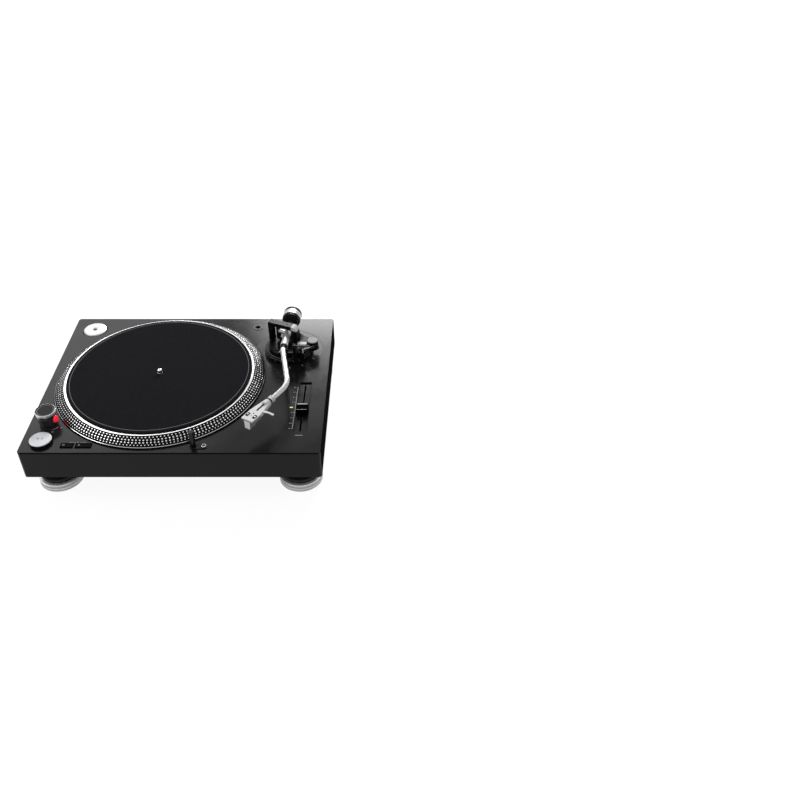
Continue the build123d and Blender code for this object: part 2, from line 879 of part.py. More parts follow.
# Indicator lights: one bar between the speed keys and one at the pitch scale's middle
with BuildPart() as indicator_lights:
    slab(level(key_light_x, key_y, -light_depth), key_light_width - 2 * seat_gap,
         key_depth - 2 * seat_gap, light_depth)
    slab(level(pitch_light_x, pitch_light_y, -light_depth), pitch_light_length,
         pitch_light_width, light_depth + light_proud)
save(indicator_lights.part, "indicator_lights")

# Control board with its touch switches and the power switch body
key_middles = [(left + right) / 2 for left, right, _ in key_spans.values()]
touch_switch_places = [(start_x, start_y)] + [(x, key_y) for x in key_middles]
with BuildPart() as control_board:
    slab(level((board_left + board_right) / 2, (board_front + board_back) / 2,
               board_top - board_thickness),
         board_right - board_left, board_back - board_front, board_thickness)
    slab(level(tower_x, (board_back + tower_y) / 2, board_top - board_thickness),
         power_switch_side + 6, tower_y - board_back + power_switch_side, board_thickness)
    for x, y in touch_switch_places:
        slab(level(x, y, board_top), switch_side, switch_side, switch_height)
        disc(level(x, y, board_top + switch_height), plunger_radius, plunger_height)
    slab(level(tower_x, tower_y, board_top), power_switch_side, power_switch_side,
         power_switch_height)
    disc(level(tower_x, tower_y, dial_shaft_end - 0.4), dial_shaft_radius + running_gap,
         power_switch_height, mode=Mode.SUBTRACT)
save(control_board.part, "control_board")

# Strobe tower: tapered stand with a bored neck and a pocket for the lens
tower_axis = upright(tower_x, tower_y)
window_plane = Plane(
    (tower_x - plinth_width / 2, tower_y - plinth_depth / 2,
     deck_z + (window_low + window_high) / 2),
    x_dir=(-sin(radians(window_heading)), cos(radians(window_heading)), 0),
    z_dir=(cos(radians(window_heading)), sin(radians(window_heading)), 0),
)
window_height = window_high - window_low
window_back = tower_low_radius - window_depth
with BuildPart() as strobe_tower:
    turned(tower_axis, [
        (dial_shaft_radius + running_gap, -tower_neck_length),
        (tower_neck_radius, -tower_neck_length),
        (tower_neck_radius, 0),
        (tower_low_radius, 0),
        (tower_high_radius, tower_height),
        (dial_shaft_radius + running_gap, tower_height),
    ])
    with BuildSketch(window_plane.offset(window_back)) as pocket:
        Ellipse(window_width / 2 + seat_gap, window_height / 2 + seat_gap)
    extrude(pocket.sketch, amount=window_depth * 2, mode=Mode.SUBTRACT)
save(strobe_tower.part, "strobe_tower")

# Strobe lens: oval plug with a domed face towards the platter's rim
tower_mid_radius = (tower_low_radius + tower_high_radius) / 2
lens_flat = tower_mid_radius - 1.6
with BuildPart() as strobe_lens:
    with BuildSketch(window_plane.offset(window_back)) as lens_root:
        Ellipse(window_width / 2, window_height / 2)
    extrude(lens_root.sketch, amount=lens_flat - window_back)
    with BuildSketch(window_plane.offset(lens_flat)) as lens_edge:
        Ellipse(window_width / 2, window_height / 2)
    with BuildSketch(window_plane.offset(tower_mid_radius + window_bulge * 0.4)) as lens_middle:
        Ellipse(window_width * 0.42, window_height * 0.42)
    with BuildSketch(window_plane.offset(tower_mid_radius + window_bulge)) as lens_front:
        Ellipse(window_width * 0.22, window_height * 0.22)
    loft([lens_edge.sketch, lens_middle.sketch, lens_front.sketch])
save(strobe_lens.part, "strobe_lens")

# Power dial: turning cap on the tower, with its shaft
with BuildPart() as power_dial:
    turned(tower_axis, [
        (0, dial_shaft_end),
        (dial_shaft_radius, dial_shaft_end),
        (dial_shaft_radius, tower_height + slide_gap),
        (dial_radius - 0.2, tower_height + slide_gap),
        (dial_radius, dial_top - dial_edge),
        (dial_radius - dial_edge, dial_top),
        (dial_dish_radius, dial_top),
        (dial_dish_radius, dial_top - dial_dish_depth),
        (0, dial_top - dial_dish_depth),
    ])
save(power_dial.part, "power_dial")

# Target lamp: base plate, rising stalk with a lens head, and its button
with BuildPart() as target_lamp_base:
    with BuildSketch(level(lamp_base_x, lamp_y)) as base_outline:
        SlotOverall(2 * lamp_base_half_length, 2 * lamp_base_half_width)
        with Locations((lamp_x - lamp_base_x, 0)):
            Circle(lamp_radius + slide_gap, mode=Mode.SUBTRACT)
        with Locations((lamp_button_x - lamp_base_x, 0)):
            Circle(lamp_button_radius + slide_gap, mode=Mode.SUBTRACT)
    extrude(base_outline.sketch, amount=lamp_base_height)
    chamfer(target_lamp_base.faces().sort_by(Axis.Z)[-1].outer_wire().edges(), 0.5)
save(target_lamp_base.part, "target_lamp_base")

lamp_foot = -deck_thickness - lamp_guide_length - lamp_below
with BuildPart() as target_lamp:
    disc(level(lamp_x, lamp_y, lamp_foot), lamp_radius, lamp_top - lamp_foot)
    # Flat face towards the record and a roof that falls to the back
    slab(level(lamp_x, lamp_y + lamp_radius + lamp_head_width / 2 - 1.2, lamp_top - lamp_head_height),
         2 * lamp_radius, lamp_head_width, lamp_head_height, mode=Mode.SUBTRACT)
    disc(level(lamp_x, lamp_y, lamp_foot), lamp_radius + 1.5, lamp_below - slide_gap)
save(target_lamp.part, "target_lamp")

with BuildPart() as target_lamp_button:
    disc(level(lamp_button_x, lamp_y, flange_top), lamp_button_radius,
         lamp_button_height - flange_top)
    chamfer(target_lamp_button.faces().sort_by(Axis.Z)[-1].edges(), 0.4)
    disc(level(lamp_button_x, lamp_y, flange_top - button_flange_height), lamp_button_radius + 1.4,
         button_flange_height)
save(target_lamp_button.part, "target_lamp_button")

# Pitch fader: box under the deck and the sliding cap
fader_mid_y = (fader_front + fader_back) / 2
fader_box_length = fader_back - fader_front + 2 * fader_box_margin
with BuildPart() as pitch_fader_box:
    slab(level(fader_x, fader_mid_y, -deck_thickness - fader_box_height), fader_box_width,
         fader_box_length, fader_box_height)
    slab(level(fader_x, fader_mid_y, -deck_thickness - fader_box_height + 2), fader_slot_width,
         fader_slot_back - fader_slot_front + 2, fader_box_height - 2, mode=Mode.SUBTRACT)
save(pitch_fader_box.part, "pitch_fader_box")

fader_side = upright(fader_x, fader_rest_y, 90)
cap_low = slide_gap - fader_dish_depth
cap_half = fader_cap_length / 2
with BuildPart() as pitch_fader_cap:
    pushed(fader_side, [
        (-cap_half, cap_low),
        (cap_half, cap_low),
        (cap_half, fader_cap_height - 1.2),
        (cap_half - 1.2, fader_cap_height),
        (1.2, fader_cap_height - fader_groove),
        (0, fader_cap_height - fader_groove - 0.5),
        (-1.2, fader_cap_height - fader_groove),
        (-cap_half + fader_cap_slope, fader_cap_height),
        (-cap_half + fader_cap_slope * 0.6, fader_cap_height - 1.0),
    ], fader_cap_width)
    slab(level(fader_x, fader_rest_y, -fader_stem_depth), fader_stem_width, fader_stem_length,
         fader_stem_depth)
save(pitch_fader_cap.part, "pitch_fader_cap")

# Large hole adaptor resting in its dish
adaptor_axis = upright(adaptor_x, adaptor_y)
with BuildPart() as large_hole_adaptor:
    turned(adaptor_axis, [
        (adaptor_hole_radius, adaptor_floor),
        (adaptor_radius - 0.5, adaptor_floor),
        (adaptor_radius, adaptor_floor + 0.5),
        (adaptor_radius, adaptor_proud - adaptor_bevel * 0.5),
        (adaptor_radius - adaptor_bevel, adaptor_proud),
        (adaptor_hole_radius + 2.2, adaptor_proud),
        (adaptor_hole_radius + 1.2, adaptor_proud - 0.6),
        (adaptor_hole_radius, adaptor_proud - 0.6),
    ])
save(large_hole_adaptor.part, "large_hole_adaptor")

# Headshell store: flanged socket for a spare headshell's plug
store_axis = upright(store_x, store_y)
store_body = store_bore_radius + store_wall
with BuildPart() as headshell_store:
    turned(store_axis, [
        (0, -store_mouth_depth - store_bore_length - store_wall),
        (store_body, -store_mouth_depth - store_bore_length - store_wall),
        (store_body, 0),
        (store_flange_radius, 0),
        (store_flange_radius, store_flange_height * 0.5),
        (store_flange_radius - 0.6, store_flange_height),
        (store_bore_radius + 0.6, store_flange_height),
        (store_bore_radius, 0),
        (store_bore_radius, -store_mouth_depth - store_bore_length),
        (0, -store_mouth_depth - store_bore_length),
    ])
save(headshell_store.part, "headshell_store")

# Arm base plate: flush disc, trimmed where the platter's well cuts into it
arm_axis = upright(arm_x, arm_y)
with BuildPart() as arm_base_plate:
    disc(level(arm_x, arm_y, -arm_plate_thickness), arm_plate_radius, arm_plate_thickness)
    disc(level(spindle_x, spindle_y, -arm_plate_thickness),
         well_radius + arm_plate_trim + slide_gap, arm_plate_thickness, mode=Mode.SUBTRACT)
    disc(level(arm_x, arm_y, -arm_barrel_depth), arm_barrel_radius, arm_barrel_depth)
    disc(level(arm_x, arm_y, -arm_barrel_depth), arm_stem_radius + running_gap, arm_barrel_depth,
         mode=Mode.SUBTRACT)
save(arm_base_plate.part, "arm_base_plate")

# Height ring: stepped ring on the base plate that raises the arm housing as it turns
with BuildPart() as height_ring:
    turned(arm_axis, [
        (height_ring_bore, seat_gap),
        (height_ring_radius, seat_gap),
        (height_ring_radius, height_ring_height - height_ring_step - 0.6),
        (height_ring_radius - 0.6, height_ring_height - height_ring_step),
        (height_ring_radius - height_ring_step_depth, height_ring_height - height_ring_step),
        (height_ring_radius - height_ring_step_depth, height_ring_height - 0.5),
        (height_ring_radius - height_ring_step_depth - 0.5, height_ring_height),
        (height_ring_bore, height_ring_height),
    ])
save(height_ring.part, "height_ring")

# Frames on the arm: its plane is tipped up a little at the front while it lies on its rest
right_unit = Vector(cos(radians(axle_heading)), sin(radians(axle_heading)), 0)
back_level = Vector(-sin(radians(axle_heading)), cos(radians(axle_heading)), 0)
back_unit = back_level * cos(radians(arm_rise)) - Vector(0, 0, sin(radians(arm_rise)))
up_unit = right_unit.cross(back_unit)
pivot = Vector(arm_x - plinth_width / 2, arm_y - plinth_depth / 2, deck_z + axle_height)
tube_origin = pivot + up_unit * (arm_height - axle_height)


def arm_direction(turn):
    """Forward direction turned to the right of the headshell's line."""
    return right_unit * sin(radians(turn)) - back_unit * cos(radians(turn))


def along_arm(origin, direction):
    """Plane whose local y runs along a direction of the arm and whose local x lies beside it."""
    return Plane(origin, x_dir=direction.cross(up_unit), z_dir=up_unit)


main_direction = arm_direction(main_turn)
middle_direction = arm_direction(middle_turn)
front_direction = arm_direction(0)
main_frame = along_arm(tube_origin, main_direction)
sleeve_end = tube_origin + main_direction * sleeve_length
first_bend_run = first_bend_radius * tan(radians((middle_turn - main_turn) / 2)) + 0.2
first_corner = sleeve_end + main_direction * first_bend_run
second_corner = first_corner + middle_direction * middle_run
tube_end = second_corner + front_direction * front_run
head_frame = along_arm(tube_end, front_direction)

# Arm housing: stem, drum, arch over the pivot, anti-skate block, rest and lift supports
rest_x = arm_x + rest_reach * cos(radians(rest_heading))
rest_y = arm_y + rest_reach * sin(radians(rest_heading))
lift_x = arm_x + lift_reach * cos(radians(lift_heading))
lift_y = arm_y + lift_reach * sin(radians(lift_heading))
arch_plane = upright(arm_x, arm_y, arch_heading)
tube_low = arm_height - tube_radius
cradle_top = tube_low + rest_reach * sin(radians(arm_rise)) - rest_gap
lift_low = tube_low + lift_reach * sin(radians(arm_rise)) - lift_gap - lift_arc_height
arch_inner_left = arch_reach_left - arch_leg
arch_inner_right = arch_reach_right - arch_leg
arch_under = arch_top - arch_bar
clip_pin_z = rest_post_top - 2.8
cue_axis_plane = Plane(
    (lift_x - plinth_width / 2, lift_y - plinth_depth / 2, deck_z + cue_axle_height),
    x_dir=(0, 0, 1),
    z_dir=(cos(radians(cue_heading + 90)), sin(radians(cue_heading + 90)), 0),
)
with BuildPart() as arm_housing:
    turned(arm_axis, [
        (0, -arm_stem_length),
        (arm_stem_radius, -arm_stem_length),
        (arm_stem_radius, drum_low),
        (drum_radius, drum_low),
        (drum_radius, drum_top - drum_step),
        (drum_radius - drum_step, drum_top),
        (0, drum_top),
    ])
    # Arch: a wide leg on the platter's side, a bar over the pivot and a narrow leg
    with BuildSketch(arch_plane) as arch_outline:
        with BuildLine():
            Polyline(
                (arch_reach_left, arch_low),
                (arch_reach_left, arch_top),
                (-arch_reach_right, arch_top),
                (-arch_reach_right, arch_low),
                (-arch_inner_right, arch_low),
                (-arch_inner_right, arch_under),
                (arch_inner_left, arch_under),
                (arch_inner_left, arch_low),
                close=True,
            )
        make_face()
        fillet(arch_outline.vertices().group_by(Axis.Y)[-1].sort_by(Axis.X)[-1], arch_round_left)
        fillet(arch_outline.vertices().group_by(Axis.Y)[-1].sort_by(Axis.X)[0], arch_round_right)
        inner_corners = arch_outline.vertices().filter_by_position(
            Axis.Y, arch_under - 0.1, arch_under + 0.1)
        fillet(inner_corners, arch_inner_round)
    extrude(arch_outline.sketch, amount=arch_bar_depth / 2, both=True)
    with BuildSketch(level(arm_x, arm_y, arch_low)) as left_leg:
        Circle(drum_radius - drum_step)
        with Locations(Rotation(0, 0, arch_heading)):
            with Locations(((arch_inner_left + arch_reach_left) / 2, 0)):
                Rectangle(arch_leg, arch_depth, mode=Mode.INTERSECT)
    extrude(left_leg.sketch, amount=arch_under - arch_low)
    # Anti-skate block and the shelf for its knob
    slab(level((skate_block_left + skate_block_right) / 2,
               (skate_block_front + skate_block_back) / 2, drum_low),
         skate_block_right - skate_block_left, skate_block_back - skate_block_front,
         skate_block_top - drum_low, 1.0)
    disc(level(skate_x, skate_y, drum_low), skate_shelf_radius, skate_shelf_top - drum_low)
    slab(level((skate_block_left + skate_x) / 2, skate_y, drum_low), skate_x - skate_block_left,
         skate_shelf_radius, skate_shelf_top - drum_low)
    # Arms out to the rest and to the lift, with the rest's post and cradle
    for heading, reach in ((rest_heading, rest_reach), (lift_heading, lift_reach)):
        arm_out = upright(arm_x, arm_y, heading)
        pushed(arm_out, [
            (drum_radius - 8, drum_low + 1.0),
            (reach, drum_low + 1.0),
            (reach, drum_top - 0.5),
            (drum_radius - 8, drum_top - 0.5),
        ], 2 * rest_post_radius)
    disc(level(rest_x, rest_y, drum_low + 1.0), rest_post_radius, rest_post_top - drum_low - 1.0)
    slab(level((rest_cradle_left + rest_x) / 2, rest_y, cradle_top - rest_cradle_height),
         rest_x - rest_cradle_left, rest_cradle_width, rest_cradle_height)
    disc(level(lift_x, lift_y, drum_low + 1.0), lift_sleeve_radius,
         lift_sleeve_top - drum_low - 1.0)
    # Bores: gimbal shaft, top pivot, knob shaft, clip pin, lift rod and cue axle
    disc(level(arm_x, arm_y, drum_top - yoke_shaft_length - seat_gap),
         yoke_shaft_radius + running_gap, yoke_shaft_length + seat_gap, mode=Mode.SUBTRACT)
    disc(level(arm_x, arm_y, arch_under), top_pin_radius + running_gap, arch_bar,
         mode=Mode.SUBTRACT)
    disc(level(skate_x, skate_y, skate_shelf_top), skate_radius + 2 * slide_gap, arch_low,
         mode=Mode.SUBTRACT)
    disc(level(skate_x, skate_y, skate_shelf_top - skate_shaft_length),
         skate_shaft_radius + running_gap, skate_shaft_length, mode=Mode.SUBTRACT)
    slab(level(rest_x, rest_y, clip_pin_z - clip_depth), 3 * rest_post_radius,
         clip_thickness + 2 * slide_gap, rest_post_top, mode=Mode.SUBTRACT)
    with BuildSketch(upright(rest_x, rest_y)) as pin_hole:
        with Locations((0, clip_pin_z)):
            Circle(clip_pin_radius + running_gap)
    extrude(pin_hole.sketch, amount=rest_post_radius * 2, both=True, mode=Mode.SUBTRACT)
    disc(level(lift_x, lift_y, drum_low + 1.0), lift_rod_radius + running_gap,
         lift_sleeve_top - drum_low - 1.0, mode=Mode.SUBTRACT)
    with BuildSketch(cue_axis_plane.offset(lift_rod_radius + 1.0)) as axle_hole:
        Circle(cue_axle_radius + running_gap)
    extrude(axle_hole.sketch, amount=lift_sleeve_radius, mode=Mode.SUBTRACT)
save(arm_housing.part, "arm_housing")

# Arm rest clip: a leaf on a pin through the rest's post, laid open to the right
with BuildPart() as arm_rest_clip:
    with BuildSketch(upright(rest_x, rest_y)) as clip_outline:
        with Locations((0, clip_pin_z)):
            Circle(clip_depth - 0.1)
        with Locations((clip_reach / 2, clip_pin_z)):
            Rectangle(clip_reach, clip_depth)
        with Locations((clip_reach - 0.8, clip_pin_z + clip_depth / 2)):
            Rectangle(1.6, 1.6)
    extrude(clip_outline.sketch, amount=clip_thickness / 2, both=True)
    with BuildSketch(upright(rest_x, rest_y)) as clip_pin:
        with Locations((0, clip_pin_z)):
            Circle(clip_pin_radius)
    extrude(clip_pin.sketch, amount=rest_post_radius * 0.85, both=True)
save(arm_rest_clip.part, "arm_rest_clip")

# Anti-skate knob
skate_axis = upright(skate_x, skate_y)
with BuildPart() as antiskate_knob:
    turned(skate_axis, [
        (0, skate_shelf_top - skate_shaft_length + slide_gap),
        (skate_shaft_radius, skate_shelf_top - skate_shaft_length + slide_gap),
        (skate_shaft_radius, skate_shelf_top + slide_gap),
        (skate_radius, skate_shelf_top + slide_gap),
        (skate_radius, skate_top - skate_edge),
        (skate_radius - skate_edge, skate_top),
        (0, skate_top),
    ])
save(antiskate_knob.part, "antiskate_knob")

# Lift platform: rod with a curved bar that follows the arm's swing
arc_sweep = lift_heading - lift_arc_start + 8
with BuildPart() as lift_platform:
    with BuildSketch(level(arm_x, arm_y, lift_low)) as lift_arc:
        with BuildLine():
            inner_arc = CenterArc((0, 0), lift_reach - lift_arc_width / 2, lift_arc_start,
                                  arc_sweep)
            outer_arc = CenterArc((0, 0), lift_reach + lift_arc_width / 2, lift_arc_start,
                                  arc_sweep)
            Line(inner_arc @ 0, outer_arc @ 0)
            Line(inner_arc @ 1, outer_arc @ 1)
        make_face()
    extrude(lift_arc.sketch, amount=lift_arc_height)
    disc(level(lift_x, lift_y, lift_low - lift_rod_length), lift_rod_radius,
         lift_rod_length + lift_arc_height / 2)
save(lift_platform.part, "lift_platform")

# Cue lever: hub on its axle beside the lift, with a flat handle
with BuildPart() as cue_lever:
    with BuildSketch(cue_axis_plane.offset(lift_sleeve_radius + slide_gap)) as hub:
        Circle(cue_hub_radius)
    extrude(hub.sketch, amount=cue_hub_width)
    with BuildSketch(cue_axis_plane.offset(lift_sleeve_radius + slide_gap)) as handle:
        with Locations((0, cue_arm_length / 2)):
            Rectangle(cue_arm_height, cue_arm_length)
        with Locations((0, cue_arm_length)):
            Circle(cue_arm_height * 0.8)
    extrude(handle.sketch, amount=cue_hub_width)
    with BuildSketch(cue_axis_plane.offset(lift_sleeve_radius + slide_gap)) as axle:
        Circle(cue_axle_radius)
    extrude(axle.sketch, amount=-cue_axle_length + 2.0)
save(cue_lever.part, "cue_lever")

# Gimbal yoke: closed frame round the arm's axle, on a shaft in the housing
yoke_plane = upright(arm_x, arm_y, axle_heading)
with BuildPart() as gimbal_yoke:
    with BuildSketch(yoke_plane) as yoke_outline:
        with BuildLine():
            Polyline(
                (-yoke_outer_left, yoke_bottom_low),
                (yoke_outer_right, yoke_bottom_low),
                (yoke_outer_right, yoke_top_high),
                (-yoke_outer_left, yoke_top_high),
                close=True,
            )
        make_face()
        fillet(yoke_outline.vertices(), 2.4)
        with BuildLine():
            Polyline(
                (-yoke_inner_left, yoke_bottom_high),
                (yoke_inner_right, yoke_bottom_high),
                (yoke_inner_right, yoke_top_low),
                (-yoke_inner_left, yoke_top_low),
                close=True,
            )
        make_face(mode=Mode.SUBTRACT)
    extrude(yoke_outline.sketch, amount=yoke_depth / 2, both=True)
    disc(level(arm_x, arm_y, drum_top + slide_gap), yoke_shaft_radius + 2.0,
         yoke_bottom_low - drum_top)
    disc(level(arm_x, arm_y, drum_top - yoke_shaft_length + slide_gap), yoke_shaft_radius,
         yoke_shaft_length)
    disc(level(arm_x, arm_y, yoke_top_high - 0.4), top_pin_radius, arch_bar)
    with BuildSketch(Plane(pivot, x_dir=back_level, z_dir=right_unit)) as axle_bore:
        Circle(axle_radius + running_gap)
    extrude(axle_bore.sketch, amount=yoke_outer_left + 5, both=True, mode=Mode.SUBTRACT)
save(gimbal_yoke.part, "gimbal_yoke")

# Arm sleeve: head block with the axle, tapered neck, dark ring and the threaded rear shaft
axle_frame = Plane(pivot, x_dir=back_unit, z_dir=right_unit)
with BuildPart() as arm_sleeve:
    turned(main_frame, [
        (0, -rear_shaft_length),
        (rear_shaft_radius - 0.6, -rear_shaft_length),
        (rear_shaft_radius, -rear_shaft_length + 0.6),
        (rear_shaft_radius, -sleeve_head_length - 2),
        (sleeve_head_radius, -sleeve_head_length),
        (sleeve_head_radius, sleeve_head_length),
        (sleeve_end_radius, sleeve_length - sleeve_ring_length - 0.5),
        (sleeve_end_radius - 0.5, sleeve_length - sleeve_ring_length),
        (sleeve_ring_radius, sleeve_length - sleeve_ring_length),
        (sleeve_ring_radius, sleeve_length),
        (0, sleeve_length),
    ])
    with BuildSketch(axle_frame.offset(slide_gap - yoke_inner_left)) as axle_boss:
        Circle(axle_boss_radius)
    extrude(axle_boss.sketch, amount=yoke_inner_left - slide_gap)
    with BuildSketch(axle_frame.offset(-yoke_outer_left)) as axle_pin:
        Circle(axle_radius)
    extrude(axle_pin.sketch, amount=yoke_outer_left + yoke_outer_right)
    # Bore that takes the tube
    with BuildSketch(Plane(sleeve_end, z_dir=-main_direction)) as tube_bore:
        Circle(tube_radius + seat_gap)
    extrude(tube_bore.sketch, amount=sleeve_length - sleeve_head_length, mode=Mode.SUBTRACT)
save(arm_sleeve.part, "arm_sleeve")

# Arm tube: S shaped tube from the sleeve to the headshell socket
with BuildPart() as arm_tube:
    with BuildLine() as tube_path:
        FilletPolyline(
            tube_origin + main_direction * (sleeve_head_length + seat_gap),
            first_corner,
            second_corner,
            tube_end,
            radius=(first_bend_radius, second_bend_radius),
        )
    with BuildSketch(Plane(tube_path.line @ 0, z_dir=tube_path.line % 0)):
        Circle(tube_radius)
        Circle(tube_radius - tube_wall, mode=Mode.SUBTRACT)
    sweep()
save(arm_tube.part, "arm_tube")

# Headshell collar nut on the tube's end
with BuildPart() as collar_nut:
    turned(head_frame, [
        (tube_radius + running_gap, -collar_back),
        (collar_radius - 1.0, -collar_back),
        (collar_radius, -collar_back + 1.4),
        (collar_radius, collar_length - collar_back),
        (collar_mouth_radius, collar_length - collar_back),
        (collar_bore_radius, collar_length - collar_back - collar_mouth_depth),
        (collar_bore_radius, seat_gap * 4),
        (tube_radius + running_gap, seat_gap * 4),
    ])
save(collar_nut.part, "collar_nut")

# Headshell: plug, neck, slotted plate with skirts and a finger lift
shell_low = shell_rise - shell_thickness
shell_end = shell_start + shell_length
shell_plate = Plane(tube_end + up_unit * shell_low, x_dir=right_unit, z_dir=up_unit)
shell_half_back = shell_back_width / 2
shell_half_front = shell_front_width / 2
shell_outline_points = [
    (-shell_half_back, -shell_start),
    (-shell_half_back - 1.0, -shell_start - 6),
    (-shell_half_front, -shell_start - shell_wide_from),
    (-shell_half_front, -shell_end),
    (shell_half_front, -shell_end),
    (shell_half_front, -shell_start - shell_wide_from),
    (shell_half_back + 1.0, -shell_start - 6),
    (shell_half_back, -shell_start),
]
with BuildPart() as headshell:
    with BuildSketch(shell_plate) as shell_top:
        with BuildLine():
            Polyline(*shell_outline_points, close=True)
        make_face()
        with Locations((0, -shell_slot_start - shell_slot_length / 2)):
            SlotOverall(shell_slot_length, shell_slot_width, rotation=90, mode=Mode.SUBTRACT)
        with Locations((0, -shell_end + screw_slot_from_front)):
            with GridLocations(screw_spacing, 1, 2, 1):
                SlotOverall(screw_slot_length, screw_slot_width, rotation=90, mode=Mode.SUBTRACT)
            Circle(1.0, mode=Mode.SUBTRACT)
    extrude(shell_top.sketch, amount=shell_thickness)
    with BuildSketch(shell_plate) as shell_sides:
        with BuildLine():
            Polyline(*shell_outline_points, close=True)
        make_face()
        offset(amount=-shell_skirt_wall, mode=Mode.SUBTRACT)
        with Locations((0, -shell_end)):
            Rectangle(shell_front_width * 2, 2 * (shell_length - shell_wide_from + 1),
                      mode=Mode.SUBTRACT)
    extrude(shell_sides.sketch, amount=-shell_skirt)
    turned(head_frame, [
        (0, collar_length - collar_back + slide_gap),
        (shell_neck_back_radius, collar_length - collar_back + slide_gap),
        (shell_neck_radius, collar_length - collar_back + slide_gap + shell_neck_taper),
        (shell_neck_radius, collar_length - collar_back + slide_gap + shell_neck_length),
        (0, collar_length - collar_back + slide_gap + shell_neck_length),
    ])
    turned(head_frame, [
        (0, seat_gap * 6),
        (plug_radius, seat_gap * 6),
        (plug_radius, collar_length - collar_back + 1),
        (0, collar_length - collar_back + 1),
    ])
    tab_y = -shell_end + lift_tab_from_front
    tab_plane = Plane(
        tube_end + up_unit * (shell_low + shell_thickness) + back_unit * tab_y,
        x_dir=right_unit,
        z_dir=-back_unit,
    )
    with BuildSketch(tab_plane) as tab_outline:
        with BuildLine():
            Polyline(
                (shell_half_front * 0.5, 0),
                (shell_half_front + 1, 0),
                (lift_tab_reach * 0.7, lift_tab_rise),
                (lift_tab_reach, lift_tab_rise * 0.6),
                (lift_tab_reach, lift_tab_rise * 0.6 - lift_tab_thickness),
                (lift_tab_reach * 0.7, lift_tab_rise - lift_tab_thickness),
                (shell_half_front + 1, -lift_tab_thickness),
                (shell_half_front * 0.5, -lift_tab_thickness),
                close=True,
            )
        make_face()
    extrude(tab_outline.sketch, amount=lift_tab_width / 2, both=True)
save(headshell.part, "headshell")

# Cartridge: body under the plate, stylus block and tip, and four rear pins
cartridge_plane = Plane(tube_end + up_unit * shell_low, x_dir=right_unit, z_dir=up_unit)
cartridge_mid = -(cartridge_back + cartridge_length / 2)
grip_mid = -(shell_end + grip_front - grip_length / 2)
stylus_y = -(shell_end + grip_front - stylus_setback)
with BuildPart() as cartridge:
    with BuildSketch(cartridge_plane) as cartridge_top:
        with Locations((0, cartridge_mid)):
            RectangleRounded(cartridge_width, cartridge_length, 1.2)
    extrude(cartridge_top.sketch, amount=-cartridge_height)
    with BuildSketch(cartridge_plane) as grip_top:
        with Locations((0, grip_mid)):
            RectangleRounded(grip_width, grip_length, 1.0)
    with BuildSketch(cartridge_plane.offset(-grip_height)) as grip_base:
        with Locations((0, grip_mid - 0.4)):
            RectangleRounded(grip_width * 0.86, grip_length * 0.95, 1.0)
    loft([grip_top.sketch, grip_base.sketch])
    with BuildSketch(cartridge_plane.offset(-grip_height)) as stylus_block:
        with Locations((0, stylus_y)):
            Rectangle(stylus_block_width, stylus_block_length)
    extrude(stylus_block.sketch, amount=-stylus_drop * 0.4)
    with BuildSketch(cartridge_plane.offset(-grip_height - stylus_drop * 0.4)) as tip_root:
        with Locations((0, stylus_y)):
            Circle(0.9)
    extrude(tip_root.sketch, amount=-stylus_drop * 0.6, taper=14)
    pin_plane = Plane(
        tube_end + up_unit * (shell_low - cartridge_height * 0.5) + back_unit
        * (cartridge_mid + cartridge_length / 2 - 1.6),
        x_dir=right_unit,
        z_dir=back_unit,
    )
    with BuildSketch(pin_plane) as rear_pins:
        with GridLocations(5.0, 4.4, 2, 2):
            Circle(pin_radius)
    extrude(rear_pins.sketch, amount=pin_length)
save(cartridge.part, "cartridge")

# Force dial and counterweight on the rear shaft
rear_frame = along_arm(tube_origin, -main_direction)
thread_bore = rear_shaft_radius + running_gap
weight_bore = dial_hub_radius + running_gap
dial_end = dial_ring_start + dial_ring_length
weight_end = dial_end + slide_gap + weight_length
dial_hub_end = weight_end - weight_cup_depth
with BuildPart() as force_dial:
    turned(rear_frame, [
        (thread_bore, dial_ring_start + 3.2),
        (dial_ring_radius - 5.5, dial_ring_start + 3.2),
        (dial_ring_radius - 2.2, dial_ring_start),
        (dial_ring_radius - 0.6, dial_ring_start),
        (dial_ring_radius, dial_ring_start + 0.6),
        (dial_ring_radius, dial_end),
        (dial_hub_radius, dial_end),
        (dial_hub_radius, dial_hub_end),
        (thread_bore, dial_hub_end),
    ])
save(force_dial.part, "force_dial")

with BuildPart() as counterweight:
    turned(rear_frame, [
        (weight_bore, dial_end + slide_gap),
        (weight_radius - weight_bevel, dial_end + slide_gap),
        (weight_radius, dial_end + slide_gap + weight_bevel),
        (weight_radius, weight_end - weight_rear_lip),
        (weight_radius - weight_rear_lip, weight_end),
        (weight_cup_radius, weight_end),
        (weight_cup_radius, weight_end - weight_cup_depth),
        (weight_bore, weight_end - weight_cup_depth),
    ])
save(counterweight.part, "counterweight")

# Rear panel tray in the back wall
def on_panel(x):
    """Upright plane on the recessed panel's face, facing back, at a place along the deck."""
    return rear(x, panel_centre, panel_recess)


